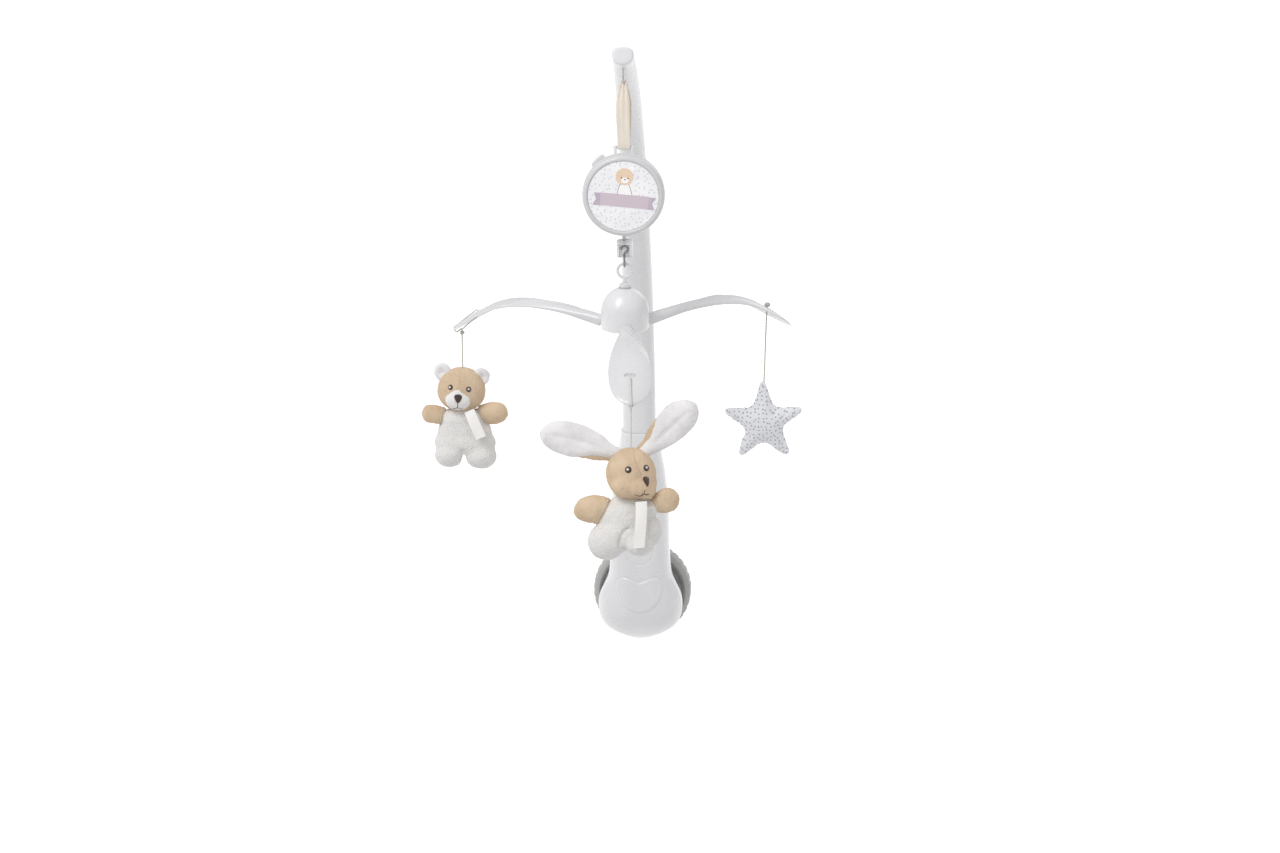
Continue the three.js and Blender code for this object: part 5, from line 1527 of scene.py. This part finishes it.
def bear():
    B = np.array([BX, BY, 0])
    hc, hr = np.array([-1.4, 0, 239.2]), np.array([22.2, 16.2, 21.4])
    head = ball("bear_head_plush", hc, hr, 110, 80)
    co = arrays(head) - hc
    low = vsmooth(4, -12, co[:, 2])
    co[:, 0] *= 1 + 0.05 * low
    co[:, 1] *= 1 + 0.04 * low
    co[:, 2] *= np.where(co[:, 2] > 0, 0.985, 1.0)
    put(head, co + hc)
    subdivided(head, 1)
    co = arrays(head)
    seam = [on_ellipsoid(*rolled((x, z), (-1.4, 239.2), 5), hc, hr)[0] for x, z in zip(np.full(16, -2.0), np.linspace(259, 243.5, 16))]
    side_l = [on_ellipsoid(*rolled((x, z), (-1.4, 239.2), 5), hc, hr)[0] for x, z in zip(np.linspace(-15.5, -13.0, 10), np.linspace(253, 226, 10))]
    lift = line_groove(co, seam, .55, .8)
    raise_by(head, lift)
    pile(head, .2, 1.9, .35, 12, 1.0)
    moved(head, *B)
    # white rib-knit muzzle
    mc, mr = np.array([-3.6, -11.2, 232.6]), np.array([12.2, 8.6, 10.4])
    muzzle = ball("bear_muzzle", mc, mr, 96, 70)
    co = arrays(muzzle) - mc
    up = vsmooth(1, 10, co[:, 2])
    co[:, 0] *= 1 - 0.30 * up
    co[:, 2] += 2.6 * up * np.clip(co[:, 2] / 10, 0, 1)
    co[:, 1] *= 1 - 0.12 * up
    put(muzzle, co + mc)
    mid = [(-3.7, y, z) for y, z in zip(np.linspace(-19.4, -16, 10), np.linspace(232, 223.5, 10))]
    raise_by(muzzle, line_groove(arrays(muzzle), mid, .8, 1.0))
    subdivided(muzzle, 1)
    pile(muzzle, .1, 1.4, .18, 7, 2.0)
    moved(muzzle, *B)
    # ears: a rim round a shallow hollow
    ears = []
    for i, (ex, ez, er) in enumerate(((-18.9, 255.4, 8.7), (16.8, 250.9, 8.4))):
        e = ball(f"ear{i}", (0, 0, 0), (er, 4.3, er), 72, 50)
        co = arrays(e)
        rad = np.hypot(co[:, 0], co[:, 2]) / er
        co[:, 1] += np.where(co[:, 1] < 0, 2.9 * np.exp(-(rad / .52) ** 2), -.5 * np.exp(-(rad / .6) ** 2))
        co[:, 0] += .25 * np.sin(co[:, 2])
        put(e, co)
        turn_z = -0.28 if ex < 0 else 0.28
        c, s = math.cos(turn_z), math.sin(turn_z)
        co = arrays(e)
        co = np.stack([co[:, 0] * c - co[:, 1] * s, co[:, 0] * s + co[:, 1] * c, co[:, 2]], 1)
        put(e, co + np.array([ex, .6, ez]))
        ears.append(e)
    ears = joined("bear_ears", ears)
    subdivided(ears, 1)
    pile(ears, .13, 1.5, .2, 6, 3.0)
    moved(ears, *B)
    soft(head, BEIGE, "bear", "bear_head", slot="beige_plush", fill=.9)
    soft(muzzle, RIB, "bear", slot="white_plush", fill=.9)
    soft(ears, EARWHITE, "bear", slot="white_plush", fill=.6)
    # eyes, nose and mouth
    darks, lights = [], []
    for k, (x, z) in enumerate(((-10.4, 244.6), (6.6, 243.0))):
        d, w = eye(f"e{k}", x + BX, z, head, 2.45, 1.05)
        darks.append(d)
        lights.append(w)
    finish_piece(joined("bear_eyes", darks), BROWN, "bear", slot="beige_plush")
    # painted highlight on the bear's eyes
    finish_piece(joined("bear_eye_lights", lights), EYE_GLINT, "bear", slot="white_plush")
    tri = [rolled(p, (0, 0), 4) for p in nose_outline(3.7, 4.2)]
    p, n = front_of(muzzle, BX - 3.1, 235.2)
    nose = stitched_patch("bear_nose", tri, p - n * .2, n, 1.5, 7.5, 0.0)
    finish_piece(nose, BROWN, "bear", slot="beige_plush")
    pts = []
    for x, z in ((-3.3, 231.5), (-3.5, 229.0), (-3.8, 226.3)):
        q, n = front_of(muzzle, BX + x, z)
        pts.append(q - n * .05)
    lines = [tube("m0", pts, .34, 10, 30)]
    for side in (-1, 1):
        pts = []
        for t in (0, .35, .7, 1):
            q, n = front_of(muzzle, BX - 3.8 + side * 4.4 * t, 226.3 - 1.6 * math.sin(math.pi * t * .62))
            pts.append(q - n * .05)
        lines.append(tube("m1", pts, .3, 10, 30))
    finish_piece(joined("bear_mouth", lines), BROWN, "bear", slot="beige_plush")
    # body
    parts = [ball("p", (-2.2, 0, 209), (18.4, 12, 15), 64, 44), ball("p", (.8, 0, 198), (26.6, 12.8, 21), 64, 44),
             ball("p", (1.0, -.5, 188), (30.4, 13.6, 17.5), 64, 44),
             ball("p", (-13.8, -4.2, 176.6), (15, 12.4, 12), 56, 40), ball("p", (16.6, -4.2, 175.6), (15.8, 12.4, 12.4), 56, 40),
             limb("p", [(-4, 0, 209), (-13, -.6, 211.6), (-20.4, -1, 213.4)], [[0, 8], [.6, 8.4], [1, 8.0]], [[0, 7], [.6, 7.4], [1, 6]], 40, 24),
             limb("p", [(3, 0, 206.6), (11, -.6, 210.8), (18.6, -1, 214.6)], [[0, 8.6], [.6, 9.4], [1, 9.6]], [[0, 7], [.6, 7.4], [1, 6.2]], 40, 24)]
    body = remeshed(joined("bear_body_boucle", parts), 1.3, 16)
    wedge = [(-.4, 181.2), (1.0, 181.2), (2.4, 174), (8, 157), (-8.4, 157), (-2.0, 174)]
    boolean(body, [skin("c", [[(x, y, z) for x, z in wedge] for y in (-30, 30)])], sharp=60)
    puffed(body, 1.7, 3, 12, 1.3, fine=2)
    co = arrays(body)
    crotch = [(.3, y, z) for y, z in ((-15.4, 176), (-14.4, 181), (-13.8, 184))]
    crotch2 = [(.3, y, z) for y, z in ((12.4, 177), (12.8, 183), (13, 190))]
    lift = line_groove(co, crotch, 1.7, 1.8) + line_groove(co, crotch2, 1.0, 1.6)
    raise_by(body, lift)
    pile(body, .2, 2.4, .3, 14, 4.0, .34, 1.7)
    moved(body, *B)
    soft(body, PLUSH, "bear", "bear_body", slot="white_plush", fill=.85)
    arms = [limb("a", [(-18.0, -1, 213.4), (-26, -1.6, 214.9), (-33, -2, 216), (-39.2, -1.8, 216.4)], [[0, 7.2], [.12, 8.3], [.45, 8.9], [.72, 8.3], [.9, 5.4], [1, .6]],
                 [[0, 5.4], [.12, 6.4], [.5, 7], [.8, 5.8], [.94, 3.4], [1, .5]], 64, 70),
            limb("a", [(16.6, -1, 213.6), (23.5, -1.6, 216.2), (32.5, -2, 216.8), (41.8, -1.8, 215.2)], [[0, 8.6], [.12, 9.8], [.45, 10.5], [.72, 9.6], [.9, 6.2], [1, .7]],
                 [[0, 5.6], [.12, 6.6], [.5, 7.4], [.8, 6], [.94, 3.6], [1, .5]], 64, 70)]
    arms = joined("bear_paws", arms)
    pile(arms, .18, 1.8, .4, 8, 6.0)
    moved(arms, *B)
    soft(arms, BEIGE, "bear", slot="beige_plush", fill=.85)
    # rolled seams where the paws meet the sleeves
    seams = []
    for (x, z, rz, ry, tilt) in ((-20.6, 213.5, 8.5, 6.7, .19), (19.0, 214.7, 9.9, 6.9, -.45)):
        ring = []
        for q in np.linspace(0, TAU, 50):
            ring.append((BX + x + math.sin(tilt) * rz * math.cos(q), BY - 1.1 + ry * math.sin(q), z + math.cos(tilt) * rz * math.cos(q)))
        seams.append(tube("s", ring, .42, 10, 150, rope=.3, pitch=1.6))
    finish_piece(joined("bear_paw_seams", seams), STITCH, "bear", slot="thread")
    tag = strip("bear_tag_strip", [(BX + 6.6, BY - 15.0, 222.6), (BX + 9.4, BY - 17.0, 216.5), (BX + 13.2, BY - 18.6, 208), (BX + 17.6, BY - 19.2, 197.6)], 10, (24.5, 0, 10.5), .4, .35)
    finish_piece(tag, TAG, "bear", "bear_tag", slot="tag")


# ------------------------------------------------------------------ star
def star():
    pts = []
    for k in range(10):
        a = math.pi / 2 + k * math.pi / 5 + math.radians(1.2)
        q = 46 if k % 2 == 0 else 22.4
        pts.append((q * math.cos(a), q * math.sin(a)))
    out = fillet(pts, [(8.5 if k == 0 else 10.5) if k % 2 == 0 else 7 for k in range(10)], 8, True)
    n = len(out)
    ring = lambda k, y: [(p[0] * k, y, p[1] * k) for p in out]
    o = skin("star_cushion_cloth", [ring(.985, -1.7), ring(1, -.8), ring(1, .8), ring(.985, 1.7)])
    puffed(o, 1.6, 12, 25, 20, 15, .4, 2)
    co = arrays(o)
    lo, hi = co.min(0), co.max(0)
    co[:, 0] = (co[:, 0] - (lo[0] + hi[0]) / 2) * (71.6 / (hi[0] - lo[0]))
    co[:, 2] = (co[:, 2] - lo[2]) * (71.6 / (hi[2] - lo[2]))
    co[:, 1] = (co[:, 1] - (lo[1] + hi[1]) / 2) * (25.0 / (hi[1] - lo[1]))
    put(o, co)
    # the sewn rim: a fine groove between two rolls, and puckers that run in from it
    flat = co[:, [0, 2]] - np.array([0, 35.8])
    ang = np.arctan2(flat[:, 1], flat[:, 0])
    lift = -.5 * np.exp(-(co[:, 1] / .55) ** 2)
    near = np.exp(-(np.abs(co[:, 1]) / 4.2))
    lift += .26 * near * np.sin(ang * 46 + 2.5 * fbm(co, 14, 1, 3.0)) + .25 * fbm(co, 9, 2, 7.0)
    raise_by(o, lift)
    moved(o, SX - 3.2, SY, STAR_TIP - 71.0)
    soft(o, STARCLOTH, "star", "star_cushion", slot="star_cloth", fill=.85)
    # stitches along the rim
    co = arrays(o) - np.array([SX - 3.2, SY, STAR_TIP - 71.0])
    rim = co[np.abs(co[:, 1]) < .5]
    ang = np.arctan2(rim[:, 2] - 35.8, rim[:, 0])
    stitches = []
    for q in np.linspace(-math.pi, math.pi, 120, endpoint=False):
        d = np.abs(np.angle(np.exp(1j * (ang - q))))
        near = rim[d < .03]
        if len(near):
            stitches.append(near[np.argmax(np.hypot(near[:, 0], near[:, 2] - 35.8))])
    line = np.array(stitches + stitches[:1])
    line = even(line, 361)
    small = []
    for i in range(0, 360, 3):
        a, b = line[i], line[i + 2]
        mid = (a + b) / 2
        out_dir = mid - np.array([0, 0, 35.8])
        out_dir /= np.linalg.norm(out_dir)
        small.append(tube("st", [a - out_dir * .2, mid + out_dir * .12, b - out_dir * .2], .2, 6, 6))
    finish_piece(moved(joined("star_rim_stitches", small), SX - 3.2, SY, STAR_TIP - 71.0), STITCH, "star", slot="thread")


# ------------------------------------------------------------------ bunny
EAR = [[0, .42], [.14, .55], [.3, .78], [.5, .98], [.66, 1], [.8, .93], [.92, .64], [.975, .34], [1, .08]]


def ear_half(name, path, w, side, bulge, cover=1.0, low_cut=0.0, crease=0.0, steps=110, cols=72, rim=0.0, sign=1):
    """Half of a padded ear: side -1 is the front, +1 the back. Sections run across a line in the X-Z plane."""
    line = catmull(path, steps)
    t = np.gradient(line, axis=0)
    t[:, 1] = 0
    t /= np.linalg.norm(t, axis=1)[:, None]
    across = np.stack([-t[:, 2], np.zeros(len(t)), t[:, 0]], 1) * sign
    rings = []
    for i, p in enumerate(line):
        s = i / (steps - 1)
        h = w * spline(EAR, s) * cover + rim
        cut = low_cut * (1 - smoothstep(.2, .6, s))
        lo, hi = -h * (1 - cut), h
        fat = bulge * min(1, 2.2 * spline(EAR, s)) * (1 - smoothstep(.93, 1.0, s) * .8)
        cc = np.cos(np.linspace(math.pi, 0, cols // 2))
        ring = []
        for c in cc:
            v = (lo + hi) / 2 + c * (hi - lo) / 2
            dome = (1 - abs(c) ** 2.6)
            dent = crease * math.exp(-((v / w - .05) / .16) ** 2) * smoothstep(.12, .4, s) * (1 - smoothstep(.75, .95, s))
            wave = .35 * math.sin(9 * s + 2.2 * c) * dome
            ring.append(p + across[i] * v + np.array([0, side * (.12 + fat * dome - dent * dome + wave), 0]))
        for c in cc[::-1][1:-1]:
            v = (lo + hi) / 2 + c * (hi - lo) / 2
            ring.append(p + across[i] * v + np.array([0, -side * .1, 0]))
        rings.append(ring)
    return skin(name, rings)


def bunny():
    N = np.array([NX, NY, 0])
    hc, hr = np.array([-.4, 0, 232.2]), np.array([21.8, 17.4, 23.2])
    yaw = math.radians(31)

    def face(x, y, z):
        """A point given for a head that looks straight ahead, turned with the head."""
        return np.array([hc[0] + x * math.cos(yaw) - y * math.sin(yaw), hc[1] + x * math.sin(yaw) + y * math.cos(yaw), z])
    parts = [ball("p", hc, hr, 96, 64), ball("p", face(0, -13.2, 223.6), (10.8, 9.2, 8.6), 56, 40),
             ball("p", face(-9.5, -6, 224), (11.5, 10, 11), 48, 34), ball("p", face(9.5, -6, 224), (11.5, 10, 11), 48, 34), ball("p", (12.2, -5.4, 219.6), (9.8, 10, 8.6), 48, 34)]
    head = remeshed(joined("bunny_head_plush", parts), 1.3, 7)
    subdivided(head, 1)
    co = arrays(head)
    seam = []
    for x, z in ((3.2, 252.5), (4.6, 249), (6.4, 244), (8.6, 239), (10.6, 234.5)):
        q, _ = front_of(head, x, z)
        seam.append(q)
    chin = []
    for x, z in ((11.6, 226), (11.2, 221), (10.4, 216.5)):
        q, _ = front_of(head, x, z)
        chin.append(q)
    raise_by(head, line_groove(co, catmull(seam, 24), .75, 1.0) + line_groove(co, catmull(chin, 16), .8, 1.1))
    pile(head, .2, 1.9, .4, 12, 11.0)
    moved(head, *N)
    soft(head, BEIGE, "bunny", "bunny_head", slot="beige_plush", fill=.9)
    darks, lights = [], []
    for k, (x, z, r) in enumerate(((-1.9, 240.4, 2.9), (13.5, 240.9, 2.7))):
        d, w = eye(f"e{k}", x + NX, z, head, r, 1.15)
        darks.append(d)
        lights.append(w)
    finish_piece(joined("bunny_eyes", darks), BROWN, "bunny", slot="beige_plush")
    # painted highlight on the bunny's eyes
    finish_piece(joined("bunny_eye_lights", lights), EYE_GLINT, "bunny", slot="white_plush")
    p, n = front_of(head, NX + 13.8, 230.0)
    tri = [rolled(q, (0, 0), 15) for q in nose_outline(3.1, 5.1)]
    nose = stitched_patch("bunny_nose", tri, p - n * .2, n, 1.6, 7.5, 0.0)
    finish_piece(nose, BROWN, "bunny", slot="beige_plush")
    lines = []
    for pts in (((13.0, 225.6), (12.4, 222.4), (11.8, 219.4)), ((11.6, 219.4), (9.4, 217.6), (6.6, 217.4), (3.6, 219.2)), ((11.6, 219.4), (13.6, 217.8), (15.6, 218.2))):
        q = []
        for x, z in pts:
            s, n = front_of(head, NX + x, z)
            q.append(s - n * .02)
        lines.append(tube("m", q, .36, 10, 36))
    finish_piece(joined("bunny_mouth", lines), BROWN, "bunny", slot="beige_plush")
    # ears: white velour in front, beige plush behind, joined by a seam round the edge
    left = [(-9, 1.5, 246.5), (-21, 1.2, 250.6), (-38, .4, 257.8), (-58, .2, 263.6), (-79.2, 1.0, 266.6)]
    right = [(8, 1.5, 250), (17.4, 1.2, 258), (29, .4, 269.6), (42, 0, 282.6), (56.2, .8, 294.4)]
    fronts = [ear_half("f", left, 15.6, -1, 2.8, .985, .42, .8, sign=-1), ear_half("f", right, 15.0, -1, 2.8, .985, .42, 1.0, sign=-1)]
    for f in fronts:
        moved(f, 0, -.5)
    # the lower edge on the left ear and the upper edge on the right ear turn forward
    backs = [ear_half("b", left, 15.6, 1, 3.2, 1, 0, .4, rim=.3, sign=-1), ear_half("b", right, 15.0, 1, 3.2, 1, 0, .4, rim=.3, sign=-1)]
    thick = [ear_half("t", left, 15.5, -1, .9, .99, 0, 0, rim=.2, sign=-1), ear_half("t", right, 14.9, -1, .9, .99, 0, 0, rim=.2, sign=-1)]
    fronts = joined("bunny_ear_fronts", fronts)
    backs = remeshed(joined("bunny_ear_backs", backs + thick), 1.0, 3)
    subdivided(fronts, 1)
    pile(fronts, .12, 1.5, .35, 10, 12.0)
    pile(backs, .16, 1.8, .3, 9, 13.0)
    for o, m, s in ((fronts, EARWHITE, "white_plush"), (backs, BEIGE, "beige_plush")):
        moved(o, NX, NY + 2.2)
        soft(o, m, "bunny", slot=s, fill=.4)
    # body
    parts = [ball("p", (-3.0, 0, 192), (21.5, 13.6, 24), 64, 44), ball("p", (-5, -.6, 180), (27, 14, 18), 64, 44),
             ball("p", (-21.6, -3.8, 171.6), (18, 13.8, 17.6), 64, 44), ball("p", (14.6, -1.5, 181), (13, 12.4, 15.5), 48, 34),
             ball("p", (7.6, -8.6, 171.8), (13.4, 12.2, 12.2), 56, 40),
             limb("p", [(-6, 0, 190), (-16, -.8, 194), (-25.6, -1.2, 198.6)], [[0, 11], [.6, 12.6], [1, 13.0]], [[0, 8], [.6, 8.6], [1, 7.4]], 40, 24),
             limb("p", [(5, 0, 197), (13.5, -.6, 201), (22.6, -1, 205.2)], [[0, 8.4], [.6, 8.6], [1, 7.4]], [[0, 7], [.6, 7.6], [1, 6.4]], 40, 24)]
    body = remeshed(joined("bunny_body_boucle", parts), 1.4, 9)
    puffed(body, 1.7, 3, 12, 1.3, fine=2)
    co = arrays(body)
    fold = [(-8.5, -16, 160), (-8.8, -17, 167), (-9.2, -15.5, 175), (-7.5, -15, 182), (-2, -15.5, 187)]
    sole = []
    for q in np.linspace(0, TAU, 40):
        sole.append((7.6 + 10.6 * math.cos(q), -18.6, 171.8 + 9.6 * math.sin(q)))
    back = [(-6, 12, 160), (-6, 12.5, 170), (-5.5, 13, 180)]
    raise_by(body, line_groove(co, catmull(fold, 30), 1.9, 1.8) + line_groove(co, sole, .8, .9) + line_groove(co, back, 1.0, 1.6))
    pile(body, .2, 2.4, .45, 13, 14.0, .34, 1.7)
    moved(body, *N)
    soft(body, PLUSH, "bunny", "bunny_body", slot="white_plush", fill=.85)
    arms = [limb("a", [(-22.6, -1.4, 197.2), (-31, -2, 200.2), (-40, -2.4, 199.4), (-50.2, -2, 196.8)], [[0, 12.4], [.1, 13.1], [.4, 12.6], [.68, 11], [.88, 7], [.96, 3.8], [1, .7]],
                 [[0, 6], [.1, 7.2], [.5, 8.2], [.8, 6.6], [.94, 3.6], [1, .5]], 72, 80),
            limb("a", [(20.2, -1, 204), (27, -2.2, 207.2), (33.4, -2.6, 210.4), (41.2, -2, 213.4)], [[0, 6.8], [.1, 8.2], [.42, 10.9], [.7, 10.4], [.88, 7], [.96, 3.8], [1, .7]],
                 [[0, 5.4], [.1, 6.4], [.5, 7.8], [.8, 6.4], [.94, 3.6], [1, .5]], 72, 80)]
    arms = joined("bunny_paws", arms)
    pile(arms, .18, 1.8, .4, 8, 16.0)
    moved(arms, *N)
    soft(arms, BEIGE, "bunny", slot="beige_plush", fill=.85)
    seams = []
    for (x, z, rz, ry, tilt) in ((-25.8, 198.6, 13.4, 7.9, -.49), (23.0, 205.3, 8.0, 6.9, .45)):
        ring = []
        for q in np.linspace(0, TAU, 50):
            ring.append((NX + x + math.sin(tilt) * -rz * math.cos(q), NY - 1.2 + ry * math.sin(q), z + math.cos(tilt) * rz * math.cos(q)))
        seams.append(tube("s", ring, .42, 10, 150, rope=.3, pitch=1.6))
    finish_piece(joined("bunny_paw_seams", seams), STITCH, "bunny", slot="thread")
    tag = strip("bunny_tag_strip", [(NX + 9.2, NY - 16.4, 212), (NX + 9.4, NY - 19.4, 201), (NX + 8.6, NY - 22.4, 188), (NX + 7.4, NY - 24.0, 172.4)], 10, (1, 0.25, .02), .4, .35)
    finish_piece(tag, TAG, "bunny", "bunny_tag", slot="tag")


bear()
star()
bunny()
